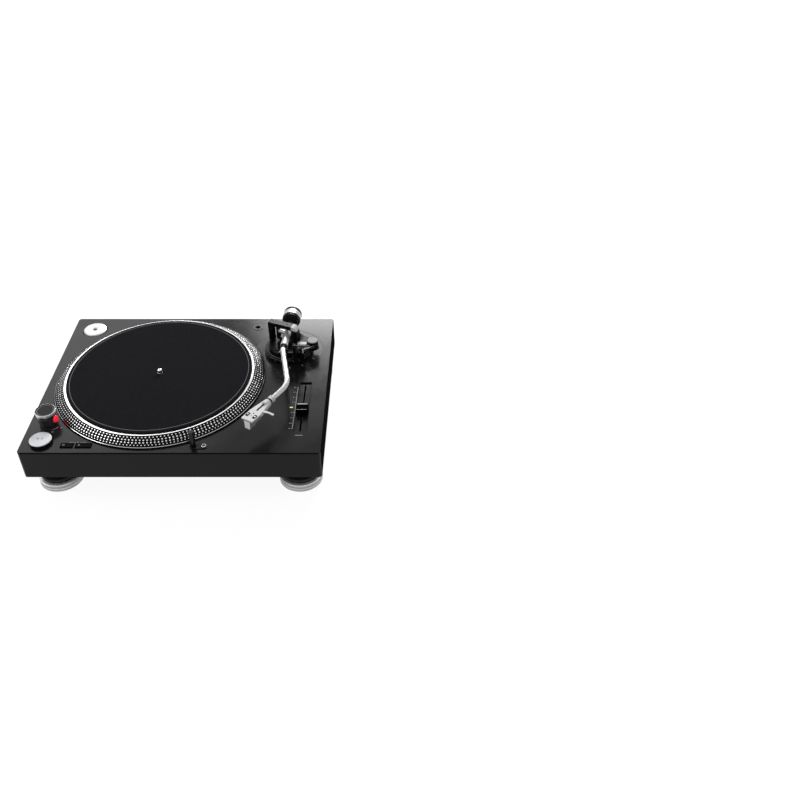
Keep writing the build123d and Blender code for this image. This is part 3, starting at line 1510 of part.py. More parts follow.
with BuildPart() as jack_panel:
    slab(on_panel(panel_x), panel_width, panel_height, panel_recess)
    slab(on_panel(panel_x), panel_width - 2 * panel_wall, panel_height - 2 * panel_wall,
         panel_recess, mode=Mode.SUBTRACT)
    slab(on_panel(panel_x), panel_width, panel_height, -panel_wall)
    for x in jack_x_list:
        disc(on_panel(x), jack_radius + seat_gap, -panel_wall, mode=Mode.SUBTRACT)
    slab(on_panel(usb_x), usb_width + 2 * seat_gap, usb_height + 2 * seat_gap, -panel_wall,
         mode=Mode.SUBTRACT)
    slab(on_panel(inlet_x), inlet_width + 2 * seat_gap, inlet_height + 2 * seat_gap, -panel_wall,
         mode=Mode.SUBTRACT)
    slab(on_panel(switch_x), switch_cap_width + switch_travel + 2 * slide_gap, switch_slot_height,
         -panel_wall, mode=Mode.SUBTRACT)
    # Ground post stands on the panel
    disc(on_panel(ground_x), ground_post_radius, ground_post_length)
save(jack_panel.part, "jack_panel")

# Output sockets: two phono jacks and the data socket
with BuildPart() as output_sockets:
    for x in jack_x_list:
        disc(on_panel(x), jack_flange_radius, jack_flange)
        disc(on_panel(x), jack_radius, jack_length)
        disc(on_panel(x), jack_radius, -jack_tail)
        disc(on_panel(x).offset(jack_length - 7), jack_bore_radius, 7, mode=Mode.SUBTRACT)
    slab(on_panel(usb_x).offset(usb_proud - usb_depth - usb_wall), usb_width, usb_height,
         usb_depth + usb_wall)
    slab(on_panel(usb_x).offset(usb_proud - usb_depth), usb_width - 2 * usb_wall,
         usb_height - 2 * usb_wall, usb_depth, mode=Mode.SUBTRACT)
save(output_sockets.part, "output_sockets")

# Power inlet: two pin socket body
with BuildPart() as power_inlet:
    slab(on_panel(inlet_x).offset(-inlet_length + 2), inlet_width, inlet_height, inlet_length)
    with BuildSketch(on_panel(inlet_x).offset(2)) as inlet_hole:
        SlotOverall(inlet_hole_width, inlet_hole_height)
    extrude(inlet_hole.sketch, amount=-inlet_depth, mode=Mode.SUBTRACT)
    with BuildSketch(on_panel(inlet_x).offset(2 - inlet_depth)) as inlet_pins:
        with GridLocations(inlet_pin_spacing, 1, 2, 1):
            Circle(inlet_pin_radius)
    extrude(inlet_pins.sketch, amount=inlet_depth - 1.5)
save(power_inlet.part, "power_inlet")

# Line switch cap
switch_rest_x = switch_x - switch_travel / 2
with BuildPart() as line_switch:
    slab(on_panel(switch_rest_x).offset(-switch_tail), switch_cap_width, switch_cap_height,
         switch_tail + switch_proud)
    slab(on_panel(switch_rest_x).offset(-panel_wall - slide_gap), switch_cap_width + 3,
         switch_cap_height + 3, panel_wall - switch_tail + slide_gap)
save(line_switch.part, "line_switch")

# Ground nut on its post
with BuildPart() as ground_nut:
    with BuildSketch(on_panel(ground_x).offset(slide_gap)) as nut_outline:
        Circle(ground_nut_radius)
        with PolarLocations(ground_nut_radius, 16):
            Circle(0.5, mode=Mode.SUBTRACT)
        Circle(ground_post_radius + running_gap, mode=Mode.SUBTRACT)
    extrude(nut_outline.sketch, amount=ground_nut_length)
save(ground_nut.part, "ground_nut")

# Sockets for the dust cover's hinges, flush in the back wall
with BuildPart() as hinge_sockets:
    for x in hinge_x_list:
        hinge_plane = rear(x, hinge_centre)
        slab(hinge_plane, hinge_width, hinge_height, -hinge_length)
        slab(hinge_plane.offset(-wall), hinge_width + 2 * hinge_flange,
             hinge_height + 2 * hinge_flange, -hinge_flange_thickness)
        slab(hinge_plane, hinge_slot_width, hinge_slot_height, -hinge_slot_depth,
             mode=Mode.SUBTRACT)
save(hinge_sockets.part, "hinge_sockets")

# Transformer: laminated core with its winding and mounting feet
with BuildPart() as transformer:
    slab(level(transformer_x, transformer_y, cover_top), core_length, core_width, core_height)
    slab(level(transformer_x, transformer_y, cover_top + (core_height - winding_height) / 2),
         core_length * 0.62, core_width + 2 * winding_overhang, winding_height, 3.0)
    slab(level(transformer_x, transformer_y, cover_top), core_length + 2 * transformer_foot,
         core_width * 0.5, 2.0)
save(transformer.part, "transformer")

# Main board: circuit board with its larger components
main_board_low = cover_top + standoff_height
with BuildPart() as main_board:
    slab(level(main_board_x, main_board_y, main_board_low), main_board_length, main_board_width,
         board_thickness)
    board_face = level(main_board_x, main_board_y, main_board_low + board_thickness)
    with BuildSketch(board_face) as capacitors:
        with Locations((-32, 18), (-18, 18), (-32, 2)):
            Circle(5.0)
    extrude(capacitors.sketch, amount=16)
    with BuildSketch(board_face) as chips:
        with Locations((6, -4)):
            Rectangle(14, 14)
        with Locations((26, 14)):
            Rectangle(8, 10)
        with Locations((-10, -20)):
            Rectangle(20, 7)
    extrude(chips.sketch, amount=2.0)
    with BuildSketch(board_face) as heat_sink:
        with Locations((34, -14)):
            Rectangle(3, 34)
        with Locations((34, -28), (34, -21), (34, -14), (34, -7), (34, 0)):
            Rectangle(14, 1.6)
    extrude(heat_sink.sketch, amount=18)
save(main_board.part, "main_board")
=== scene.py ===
from math import cos, degrees, pi, radians, sin, tan

import bmesh
import bpy
import numpy as np
from bpy.props import FloatProperty, FloatVectorProperty, IntProperty, PointerProperty
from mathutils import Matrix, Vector


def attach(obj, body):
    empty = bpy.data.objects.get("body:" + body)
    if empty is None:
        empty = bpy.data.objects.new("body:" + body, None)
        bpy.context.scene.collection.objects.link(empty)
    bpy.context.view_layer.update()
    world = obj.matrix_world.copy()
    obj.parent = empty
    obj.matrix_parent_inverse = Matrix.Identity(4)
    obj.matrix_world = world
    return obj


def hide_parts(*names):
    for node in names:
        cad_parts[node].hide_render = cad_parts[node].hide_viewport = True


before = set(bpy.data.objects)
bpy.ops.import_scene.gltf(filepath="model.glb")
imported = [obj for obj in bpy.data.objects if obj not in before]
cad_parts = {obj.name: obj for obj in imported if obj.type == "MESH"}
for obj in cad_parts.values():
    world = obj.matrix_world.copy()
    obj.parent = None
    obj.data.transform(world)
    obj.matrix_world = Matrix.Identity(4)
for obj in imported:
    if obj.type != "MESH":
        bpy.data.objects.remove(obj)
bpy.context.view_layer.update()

bl_info = {
    "name": "Disc turntable finish",
    "version": (1, 0, 0),
    "blender": (4, 5, 0),
    "location": "View3D > Sidebar > Turntable",
    "description": "Felt mat, dots, printed marks, finishes and a plain stage for a disc turntable",
    "category": "Object",
}

# Directions of the shared frame
ORIGIN = (0.0, 0.0, 0.0)
RIGHT = (1.0, 0.0, 0.0)
REAR = (0.0, 1.0, 0.0)
UP = (0.0, 0.0, 1.0)

# Places from the part's source, in metres from the floor under the plinth's middle
DECK = 0.091
SPINDLE = np.array([-0.044, -0.001])
TOWER = np.array([-0.1971, -0.105])
START = np.array([-0.195, -0.1507])
ADAPTOR = np.array([-0.1882, 0.1403])
LAMP = np.array([0.035, -0.161])
LAMP_BUTTON = np.array([0.0503, -0.161])
ARM = np.array([0.1555, 0.081])
SKATE = np.array([0.1964, 0.0755])
FOOT = np.array([0.1877, 0.134])
FADER_X = 0.1905
FADER_Y = -0.07975

# The walls start just inside the plinth's half width and half depth
WALL_X = 0.2246
WALL_Y = 0.1746

# Platter: radius and height above the deck at both edges of its slope, and the mat's seat
SLOPE_FOOT = np.array([0.1657, 0.0036])
SLOPE_TOP = np.array([0.1504, 0.0136])
MAT_SEAT = 0.013
MAT_HOLE = 0.0041

# Tops above the deck of what carries a print: speed keys, start button and anti-skate knob
KEY_TOP = 0.0016
BUTTON_TOP = 0.006
KNOB_TOP = 0.0256

# Pitch scale: its middle, the way from one long line to the next, and its upright line
SCALE_MIDDLE = FADER_Y + 0.00985
SCALE_STEP = 0.01256
SCALE_LINE = np.array([[0.17897, -0.01925], [0.17838, -0.12096]])

# Arm: angles in degrees, then heights and lengths in metres
AXLE_HEADING = -30.5
ARM_RISE = 0.5
MAIN_TURN = 26.7
MIDDLE_TURN = 40.89
PIVOT_HEIGHT = 0.0345
TUBE_LIFT = 0.0025
SLEEVE_LENGTH = 0.0468
SLEEVE_GAP = 0.0002
MIDDLE_RUN = 0.0930
FRONT_RUN = 0.0436
FIRST_BEND = 0.028
SCREW_SIDE = 0.00635
SCREWS_AHEAD = 0.0477
RING_RADIUS = 0.0406
DIAL_RADIUS = 0.0144
DIAL_BACK = 0.0347

# Blacks that several finishes share; SHADOW is for painted shade
JET = (0.004, 0.004, 0.0045)
SHADOW = (0.001, 0.001, 0.001)

# Camera solved from the photo: metres, degrees, then lens and sensor in millimetres
CAMERA_PLACE = (0.34253, -1.17329, 1.01297)
CAMERA_TILT = 50.58
CAMERA_LENS = 41.33
CAMERA_SENSOR = 36.0

# Floor: share of its glow that the camera sees in place of its own shade, and that glow
PAPER_SHARE = 0.82
PAPER_GLOW = 1.12


def arm_frame():
    """The arm's right, back and up directions: level along the axle, tipped up in front."""
    right = np.array([cos(radians(AXLE_HEADING)), sin(radians(AXLE_HEADING)), 0.0])
    level = np.array([-right[1], right[0], 0.0])
    back = level * cos(radians(ARM_RISE)) - np.array([0, 0, sin(radians(ARM_RISE))])
    return right, back, np.cross(right, back)


ARM_RIGHT, ARM_BACK, ARM_UP = arm_frame()
PIVOT = np.array([ARM[0], ARM[1], DECK + PIVOT_HEIGHT])
TUBE = PIVOT + ARM_UP * TUBE_LIFT


def arm_direction(turn):
    """Forward direction in the arm's plane, turned to the right of the headshell's line."""
    return ARM_RIGHT * sin(radians(turn)) - ARM_BACK * cos(radians(turn))


MAIN_WAY = arm_direction(MAIN_TURN)
MIDDLE_WAY = arm_direction(MIDDLE_TURN)
FRONT_WAY = arm_direction(0)
FIRST_CORNER = TUBE + MAIN_WAY * (
    SLEEVE_LENGTH + FIRST_BEND * tan(radians((MIDDLE_TURN - MAIN_TURN) / 2)) + SLEEVE_GAP)
TUBE_END = FIRST_CORNER + MIDDLE_WAY * MIDDLE_RUN + FRONT_WAY * FRONT_RUN


# Sizes and colours a user would change

class DeckFinish(bpy.types.PropertyGroup):
    """Paint of the plinth and the marks printed on its deck."""

    paint: FloatVectorProperty(
        name="Paint", description="Colour of the plinth's satin paint", subtype="COLOR",
        size=3, min=0, max=1, default=(0.0075, 0.0076, 0.0086))
    print_colour: FloatVectorProperty(
        name="Print", description="Colour of the printed lines and numbers", subtype="COLOR",
        size=3, min=0, max=1, default=(0.52, 0.53, 0.55))
    print_height: FloatProperty(
        name="Print height", description="How far the ink stands above the paint",
        default=0.00004, min=0.00001, max=0.0003, subtype="DISTANCE", unit="LENGTH")
    number_size: FloatProperty(
        name="Number size", description="Height of the pitch scale's numbers",
        default=0.0030, min=0.001, max=0.008, subtype="DISTANCE", unit="LENGTH")


class MatFinish(bpy.types.PropertyGroup):
    """Felt mat that lies in the platter."""

    radius: FloatProperty(
        name="Radius", description="Radius of the felt mat", default=0.1467,
        min=0.1, max=0.147, subtype="DISTANCE", unit="LENGTH")
    thickness: FloatProperty(
        name="Thickness", description="Thickness of the felt", default=0.003,
        min=0.001, max=0.003, subtype="DISTANCE", unit="LENGTH")
    felt: FloatVectorProperty(
        name="Felt", description="Colour of the felt", subtype="COLOR",
        size=3, min=0, max=1, default=(0.0090, 0.0092, 0.0108))
    ring_radius: FloatProperty(
        name="Ring radius", description="Radius of the thin printed ring", default=0.1415,
        min=0.05, max=0.145, subtype="DISTANCE", unit="LENGTH")


class DotFinish(bpy.types.PropertyGroup):
    """Rows of dots on the platter's sloping rim."""

    count: IntProperty(
        name="Dots in a row", description="Number of dots round the middle row", default=180,
        min=24, max=240)
    radius: FloatProperty(
        name="Dot radius", description="Radius of the largest dots", default=0.00120,
        min=0.0005, max=0.002, subtype="DISTANCE", unit="LENGTH")
    height: FloatProperty(
        name="Dot height", description="How far a dot stands above the slope", default=0.00015,
        min=0.00005, max=0.0004, subtype="DISTANCE", unit="LENGTH")


class MetalFinish(bpy.types.PropertyGroup):
    """Metals and plastics of the controls, the arm and the feet."""

    silver: FloatVectorProperty(
        name="Silver", description="Colour of the satin silver pieces", subtype="COLOR",
        size=3, min=0, max=1, default=(0.72, 0.73, 0.74))
    bright: FloatVectorProperty(
        name="Bright metal", description="Colour of the polished tube and edges", subtype="COLOR",
        size=3, min=0, max=1, default=(0.80, 0.80, 0.81))
    black: FloatVectorProperty(
        name="Black metal", description="Colour of the black arm base and knobs", subtype="COLOR",
        size=3, min=0, max=1, default=(0.005, 0.005, 0.0055))
    gunmetal: FloatVectorProperty(
        name="Gunmetal", description="Colour of the strobe tower", subtype="COLOR",
        size=3, min=0, max=1, default=(0.22, 0.225, 0.24))


class StageFinish(bpy.types.PropertyGroup):
    """Plain floor and lights."""

    floor_size: FloatProperty(
        name="Floor size", description="Side of the square floor", default=12.0,
        min=2, max=40, subtype="DISTANCE", unit="LENGTH")
    floor: FloatVectorProperty(
        name="Floor", description="Colour of the floor", subtype="COLOR",
        size=3, min=0, max=1, default=(0.86, 0.86, 0.86))
    key_power: FloatProperty(
        name="Key light", description="Power of the large light behind the object", default=72.0,
        min=0, max=200, subtype="POWER", unit="POWER")
    rear_power: FloatProperty(
        name="Rear light", description="Power of the dim light behind on the left", default=7.0,
        min=0, max=200, subtype="POWER", unit="POWER")
    fill_power: FloatProperty(
        name="Fill light", description="Power of the soft light from the left", default=9.0,
        min=0, max=200, subtype="POWER", unit="POWER")
    world_strength: FloatProperty(
        name="World light", description="Strength of the even light all round", default=0.42,
        min=0, max=2)


# Materials

class Finish:
    """A material while it is being made, with the nodes that its patterns need."""

    def __init__(self, name, colour, metallic=0.0, roughness=0.5):
        self.material = bpy.data.materials.new(name)
        self.material.use_nodes = True
        self.nodes = self.material.node_tree.nodes
        self.links = self.material.node_tree.links
        self.shader = self.nodes["Principled BSDF"]
        self.colour = tuple(colour)
        self.shader.inputs["Base Color"].default_value = (*self.colour, 1)
        self.shader.inputs["Metallic"].default_value = metallic
        self.shader.inputs["Roughness"].default_value = roughness
        self.place = self.nodes.new("ShaderNodeTexCoord").outputs["Object"]

    def set(self, **values):
        """Sets plain numbers on the shader's own sockets."""
        for name, value in values.items():
            self.shader.inputs[name.replace("_", " ")].default_value = value
        return self

    def vector(self, operation, first, second=None):
        """One vector sum: its parts are sockets or plain vectors."""
        node = self.nodes.new("ShaderNodeVectorMath")
        node.operation = operation
        for socket, value in zip(node.inputs, (first, second)):
            if value is None:
                continue
            if hasattr(value, "is_linked"):
                self.links.new(value, socket)
            else:
                socket.default_value = tuple(float(part) for part in value)
        return node

    def number(self, operation, first, second=None):
        """One sum of numbers: its parts are sockets or plain numbers."""
        node = self.nodes.new("ShaderNodeMath")
        node.operation = operation
        for socket, value in zip(node.inputs, (first, second)):
            if value is None:
                continue
            if hasattr(value, "is_linked"):
                self.links.new(value, socket)
            else:
                socket.default_value = float(value)
        return node.outputs[0]

    def offset(self, centre):
        """Place on the object, counted from a centre."""
        return self.vector("SUBTRACT", self.place, centre).outputs["Vector"]

    def reach(self, centre, axis):
        """Distance from an axis: length of the offset's cross product with the axis."""
        crossed = self.vector("CROSS_PRODUCT", self.offset(centre), axis)
        return self.vector("LENGTH", crossed.outputs["Vector"]).outputs["Value"]

    def along(self, centre, axis):
        """Distance along an axis: dot product of the offset with the axis."""
        return self.vector("DOT_PRODUCT", self.offset(centre), axis).outputs["Value"]

    def turn(self, centre, first, second):
        """Angle round a centre, from the offset's parts along two crossing directions."""
        return self.number("ARCTAN2", self.along(centre, second), self.along(centre, first))

    def near(self, value, middle, half):
        """One where a value lies within half a width of its middle, and nought elsewhere."""
        gap = self.number("ABSOLUTE", self.number("SUBTRACT", value, middle))
        return self.number("LESS_THAN", gap, half)

    def noise(self, scale, detail=3.0, roughness=0.55, stretch=None):
        """Noise on the object's own coordinates, stretched where a direction is given."""
        source = self.place
        if stretch is not None:
            source = self.vector("MULTIPLY", source, stretch).outputs["Vector"]
        node = self.nodes.new("ShaderNodeTexNoise")
        node.inputs["Scale"].default_value = scale
        node.inputs["Detail"].default_value = detail
        node.inputs["Roughness"].default_value = roughness
        self.links.new(source, node.inputs["Vector"])
        return node.outputs["Fac"]

    def ring_noise(self, value, scale, detail=2.0):
        """Noise that runs in rings or bands of one value, such as turned metal's fine lines."""
        node = self.nodes.new("ShaderNodeTexNoise")
        node.noise_dimensions = "1D"
        node.inputs["Scale"].default_value = scale
        node.inputs["Detail"].default_value = detail
        self.links.new(value, node.inputs["W"])
        return node.outputs["Fac"]

    def ramp(self, value, stops, smooth=False):
        """Colour by value, with one stop for each (value from 0 to 1, colour)."""
        node = self.nodes.new("ShaderNodeValToRGB")
        node.color_ramp.interpolation = "LINEAR" if smooth else "CONSTANT"
        elements = node.color_ramp.elements
        while len(elements) < len(stops):
            elements.new(0.5)
        for element, (position, colour) in zip(elements, stops):
            element.position = position
            if isinstance(colour, (int, float)):
                colour = (colour, colour, colour)
            element.color = (*tuple(colour)[:3], 1)
        self.links.new(value, node.inputs["Fac"])
        return node.outputs["Color"]

    def span(self, value, low, high, to_low=0.0, to_high=1.0):
        """Value moved from one span to another and kept inside it."""
        node = self.nodes.new("ShaderNodeMapRange")
        node.inputs["From Min"].default_value = low
        node.inputs["From Max"].default_value = high
        node.inputs["To Min"].default_value = to_low
        node.inputs["To Max"].default_value = to_high
        self.links.new(value, node.inputs["Value"])
        return node.outputs["Result"]

    def mix(self, value, first, second, blend="MIX"):
        """Colour between two others."""
        node = self.nodes.new("ShaderNodeMix")
        node.data_type = "RGBA"
        node.blend_type = blend
        if hasattr(value, "is_linked"):
            self.links.new(value, node.inputs["Factor"])
        else:
            node.inputs["Factor"].default_value = value
        for name, colour in (("A", first), ("B", second)):
            socket = [s for s in node.inputs if s.name == name and s.type == "RGBA"][0]
            if hasattr(colour, "is_linked"):
                self.links.new(colour, socket)
            else:
                socket.default_value = (*tuple(colour)[:3], 1)
        return [s for s in node.outputs if s.type == "RGBA"][0]

    def paint(self, socket, value):
        """Joins a pattern to one of the shader's sockets."""
        self.links.new(value, self.shader.inputs[socket])
        return self

    def mottle(self, scale, amount, base=None):
        """Colour that wanders a little darker and lighter than the base."""
        base = self.colour if base is None else base
        fac = self.span(self.noise(scale, 4.0), 0.3, 0.7)
        if hasattr(base, "is_linked"):
            darker = self.mix(1.0, base, (1 - amount,) * 3, "MULTIPLY")
            lighter = self.mix(1.0, base, (1 + amount,) * 3, "MULTIPLY")
        else:
            darker = [part * (1 - amount) for part in base]
            lighter = [min(1, part * (1 + amount)) for part in base]
        return self.paint("Base Color", self.mix(fac, darker, lighter))

    def smudge(self, scale, low, high):
        """Roughness that wanders, as handling and wear leave it."""
        return self.paint("Roughness", self.span(self.noise(scale, 5.0, 0.6), 0.3, 0.7, low, high))

    def relief(self, height, strength, distance):
        """Fine relief from a height pattern."""
        node = self.nodes.new("ShaderNodeBump")
        node.inputs["Strength"].default_value = strength
        node.inputs["Distance"].default_value = distance
        self.links.new(height, node.inputs["Height"])
        self.links.new(node.outputs["Normal"], self.shader.inputs["Normal"])
        return self


def deck_point(place, height=0.0):
    """Point above or below a place on the deck."""
    return (float(place[0]), float(place[1]), DECK + height)


def moulded_plastic(name, colour, roughness=0.45, gloss=0.12):
    """Moulded plastic: faint spark texture and a soft sheen."""
    finish = Finish(name, colour, 0.0, roughness)
    finish.set(Specular_IOR_Level=gloss)
    finish.mottle(60, 0.10).smudge(30, roughness - 0.08, roughness + 0.08)
    return finish.relief(finish.noise(3200, 3.0), 0.18, 0.0001).material


def soft_rubber(name, colour):
    """Rubber: dull, with a fine pebbled skin."""
    finish = Finish(name, colour, 0.0, 0.78)
    finish.set(Specular_IOR_Level=0.15)
    finish.mottle(80, 0.15).smudge(50, 0.68, 0.86)
    return finish.relief(finish.noise(1400, 4.0), 0.35, 0.0002).material


def spun_metal(name, colour, centre, axis, roughness=0.24, lines=5200, metallic=1.0):
    """Turned metal: fine rings about an axis, made by noise along the distance from it."""
    finish = Finish(name, colour, metallic, roughness)
    rings = finish.ring_noise(finish.reach(centre, axis), lines)
    finish.paint("Roughness", finish.span(rings, 0.3, 0.7, roughness - 0.07, roughness + 0.10))
    finish.mottle(40, 0.05)
    return finish.relief(rings, 0.12, 0.00006).material


def drawn_metal(name, colour, axis, roughness=0.2, metallic=1.0):
    """Drawn metal: fine lines along an axis, made by noise squeezed across it."""
    finish = Finish(name, colour, metallic, roughness)
    stretch = tuple(30 + 970 * (1 - abs(float(part))) for part in axis)
    streaks = finish.noise(1.6, 3.0, 0.6, stretch=stretch)
    finish.paint("Roughness", finish.span(streaks, 0.3, 0.7, roughness * 0.6, roughness * 1.5))
    finish.mottle(50, 0.05)
    return finish.relief(streaks, 0.05, 0.00005).material


def cast_metal(name, colour, roughness=0.5, metallic=1.0):
    """Cast metal: softly uneven skin."""
    finish = Finish(name, colour, metallic, roughness)
    finish.mottle(120, 0.14).smudge(60, roughness - 0.1, roughness + 0.12)
    return finish.relief(finish.noise(500, 4.0), 0.3, 0.0002).material


def black_anodised(name, colour, roughness=0.3):
    """Black anodised metal: dark, with a satin reflection and fine grain."""
    finish = Finish(name, colour, 0.0, roughness)
    finish.set(Specular_IOR_Level=0.22)
    finish.mottle(70, 0.1).smudge(45, roughness - 0.07, roughness + 0.09)
    return finish.relief(finish.noise(2400, 2.0), 0.08, 0.00006).material


def banded_metal(name, value_of, span, bands, lines=0.0, gloss=0.04):
    """Metal whose colour, gloss and metal share change in bands of one measured value.

    The value is a distance from or along an axis; each band is (from, colour, metallic,
    roughness) and holds up to the next band's start.
    """
    finish = Finish(name, bands[0][1], bands[0][2], bands[0][3])
    finish.set(Specular_IOR_Level=gloss)
    value = value_of(finish)
    low, high = span
    share = finish.span(value, low, high)
    steps = [((start - low) / (high - low), colour, metal, rough)
             for start, colour, metal, rough in bands]
    colours = finish.ramp(share, [(at, colour) for at, colour, _, _ in steps])
    finish.paint("Metallic", finish.ramp(share, [(at, metal) for at, _, metal, _ in steps]))
    rough = finish.ramp(share, [(at, dull) for at, _, _, dull in steps])
    uneven = finish.span(finish.noise(45, 4.0), 0.3, 0.7, 0.85, 1.2)
    finish.paint("Roughness", finish.number("MULTIPLY", rough, uneven))
    finish.mottle(55, 0.07, colours)
    if lines:
        finish.relief(finish.ring_noise(value, lines), 0.12, 0.00006)
    else:
        finish.relief(finish.noise(2200, 2.0), 0.06, 0.00005)
    return finish.material


def dress(node, material):
    """Gives a piece one material in place of those it came with."""
    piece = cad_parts[node] if isinstance(node, str) else node
    piece.data.materials.clear()
    piece.data.materials.append(material)


# Shapes

def grid_faces(rows, columns, wrap_rows, wrap_columns):
    """Four-sided faces between neighbours of a grid, closed along the ways that wrap."""
    row = np.arange(rows if wrap_rows else rows - 1)
    column = np.arange(columns if wrap_columns else columns - 1)
    a, b = np.meshgrid(row, column, indexing="ij")
    next_a, next_b = (a + 1) % rows, (b + 1) % columns
    corners = [a * columns + b, a * columns + next_b, next_a * columns + next_b,
               next_a * columns + b]
    return np.stack([part.ravel() for part in corners], axis=1)


def mesh_piece(name, vertices, faces, smooth=True):
    """New object at the origin from arrays of points and faces, with faces pointing outwards."""
    mesh = bpy.data.meshes.new(name)
    mesh.from_pydata(np.asarray(vertices, float).tolist(), [], [list(face) for face in faces])
    mesh.validate()
    shell = bmesh.new()
    shell.from_mesh(mesh)
    bmesh.ops.remove_doubles(shell, verts=shell.verts, dist=1e-7)
    bmesh.ops.recalc_face_normals(shell, faces=shell.faces)
    shell.to_mesh(mesh)
    shell.free()
    mesh.polygons.foreach_set("use_smooth", np.full(len(mesh.polygons), smooth))
    piece = bpy.data.objects.new(name, mesh)
    bpy.context.collection.objects.link(piece)
    return piece


def joined(parts):
    """One pair of arrays from several (points, faces) pairs."""
    vertices, faces, count = [], [], 0
    for points, corners in parts:
        vertices.append(np.asarray(points, float))
        faces.extend([tuple(int(i) + count for i in face) for face in corners])
        count += len(points)
    return np.concatenate(vertices), faces


def turned_shell(profile, centre, axis, side, segments):
    """Closed shell: a loop of (radius, height) carried round an axis.

    Point = centre + radius (cos t side + sin t other) + height axis.
    """
    axis, side = np.asarray(axis, float), np.asarray(side, float)
    other = np.cross(axis, side)
    t = np.linspace(0, 2 * pi, segments, endpoint=False)[:, None, None]
    radius, height = np.asarray(profile, float).T
    points = (np.asarray(centre, float) + radius[None, :, None] * (np.cos(t) * side
              + np.sin(t) * other) + height[None, :, None] * axis)
    faces = grid_faces(segments, len(radius), True, True)
    return points.reshape(-1, 3), faces


def slab_part(low, high):
    """Upright box between two corners, as one small part of a printed piece."""
    x0, y0, z0 = low
    x1, y1, z1 = high
    points = np.array([[x0, y0, z0], [x1, y0, z0], [x1, y1, z0], [x0, y1, z0],
                       [x0, y0, z1], [x1, y0, z1], [x1, y1, z1], [x0, y1, z1]])
    faces = [(3, 2, 1, 0), (4, 5, 6, 7), (0, 1, 5, 4), (1, 2, 6, 5), (2, 3, 7, 6), (3, 0, 4, 7)]
    return points, faces


def text_part(words, size, thick):
    """Flat figures centred on the origin, as points and faces."""
    curve = bpy.data.curves.new("figures", "FONT")
    curve.body = words
    curve.size = size
    curve.align_x = "CENTER"
    curve.align_y = "CENTER"
    curve.extrude = thick / 2
    curve.resolution_u = 3
    holder = bpy.data.objects.new("figures", curve)
    bpy.context.collection.objects.link(holder)
    shaped = holder.evaluated_get(bpy.context.evaluated_depsgraph_get())
    mesh = bpy.data.meshes.new_from_object(shaped)
    points = np.empty(len(mesh.vertices) * 3)
    mesh.vertices.foreach_get("co", points)
    faces = [tuple(face.vertices) for face in mesh.polygons]
    bpy.data.objects.remove(holder)
    bpy.data.meshes.remove(mesh)
    bpy.data.curves.remove(curve)
    return points.reshape(-1, 3), faces


def placed(part, centre, across, upward, out):
    """Part laid on three directions: x across, y upward and z out of the surface."""
    points, faces = part
    basis = np.stack([np.asarray(across, float), np.asarray(upward, float),
                      np.asarray(out, float)])
    return points @ basis + np.asarray(centre, float), faces


def spoke(turn):
    """Outward and sideways directions at an angle in degrees about the upright."""
    out = np.array([cos(radians(turn)), sin(radians(turn)), 0.0])
    return out, np.array([-out[1], out[0], 0.0])


def on_deck(part, x, y, height, turn=0.0):
    """Part laid flat at a place on the deck, turned about the upright."""
    across, upward = spoke(turn)
    return placed(part, (x, y, DECK + height), across, upward, UP)


def tick(length, width, thick):
    """Short printed line along x, centred."""
    half = np.array([length, width, thick]) / 2
    return slab_part(-half, half)


# Operators, one for each piece or group of like pieces

class TURNTABLE_OT_felt_mat(bpy.types.Operator):
    """Lays the felt mat in the platter: a thin disc with soft edges and a fuzzy top"""

    bl_idname = "turntable.felt_mat"
    bl_label = "Felt mat"

    def execute(self, context):
        sizes = context.scene.turntable_mat
        low = DECK + MAT_SEAT
        high = low + sizes.thickness
        soft = 0.0006
        inner = [(MAT_HOLE, low), (MAT_HOLE, low + soft)]
        top = [(radius, high) for radius in np.linspace(MAT_HOLE + soft, sizes.radius - soft, 46)]
        outer = [(sizes.radius - soft * 0.3, high - soft * 0.3), (sizes.radius, high - soft),
                 (sizes.radius, low)]
        bottom = [(radius, low) for radius in np.linspace(sizes.radius, MAT_HOLE, 6)[1:-1]]
        profile = np.array(inner + top + outer + bottom)
        points, faces = turned_shell(profile, (SPINDLE[0], SPINDLE[1], 0), UP, RIGHT, 240)
        # The top sinks by up to 0.15 mm in slow waves: two crossing sines of the place
        waves = (np.sin(points[:, 0] * 61 + 1.3) * np.sin(points[:, 1] * 53 + 0.4)
                 + 0.5 * np.sin(points[:, 0] * 140 + points[:, 1] * 117))
        is_top = points[:, 2] > high - 1e-6
        points[is_top, 2] -= 0.00005 * (1.5 + waves[is_top])
        mat = mesh_piece("slipmat_felt", points, faces)
        finish = Finish("felt", sizes.felt, 0.0, 0.95)
        finish.set(Specular_IOR_Level=0.0, Sheen_Weight=0.01, Sheen_Roughness=0.5)
        flecks = finish.noise(1500, 3.0, 0.75)
        tone = finish.ramp(flecks, [(0.0, 0.003), (0.42, sizes.felt),
                                    (0.58, (0.014, 0.014, 0.016)),
                                    (0.74, (0.044, 0.044, 0.048))], smooth=True)
        reach = finish.reach(deck_point(SPINDLE), UP)
        ring = finish.near(reach, sizes.ring_radius, 0.00045)
        finish.paint("Base Color", finish.mix(ring, tone, (0.16, 0.16, 0.17)))
        finish.relief(finish.noise(1100, 5.0, 0.8), 0.6, 0.0004)
        dress(mat, finish.material)
        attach(mat, "slipmat")
        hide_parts("slipmat")
        return {"FINISHED"}


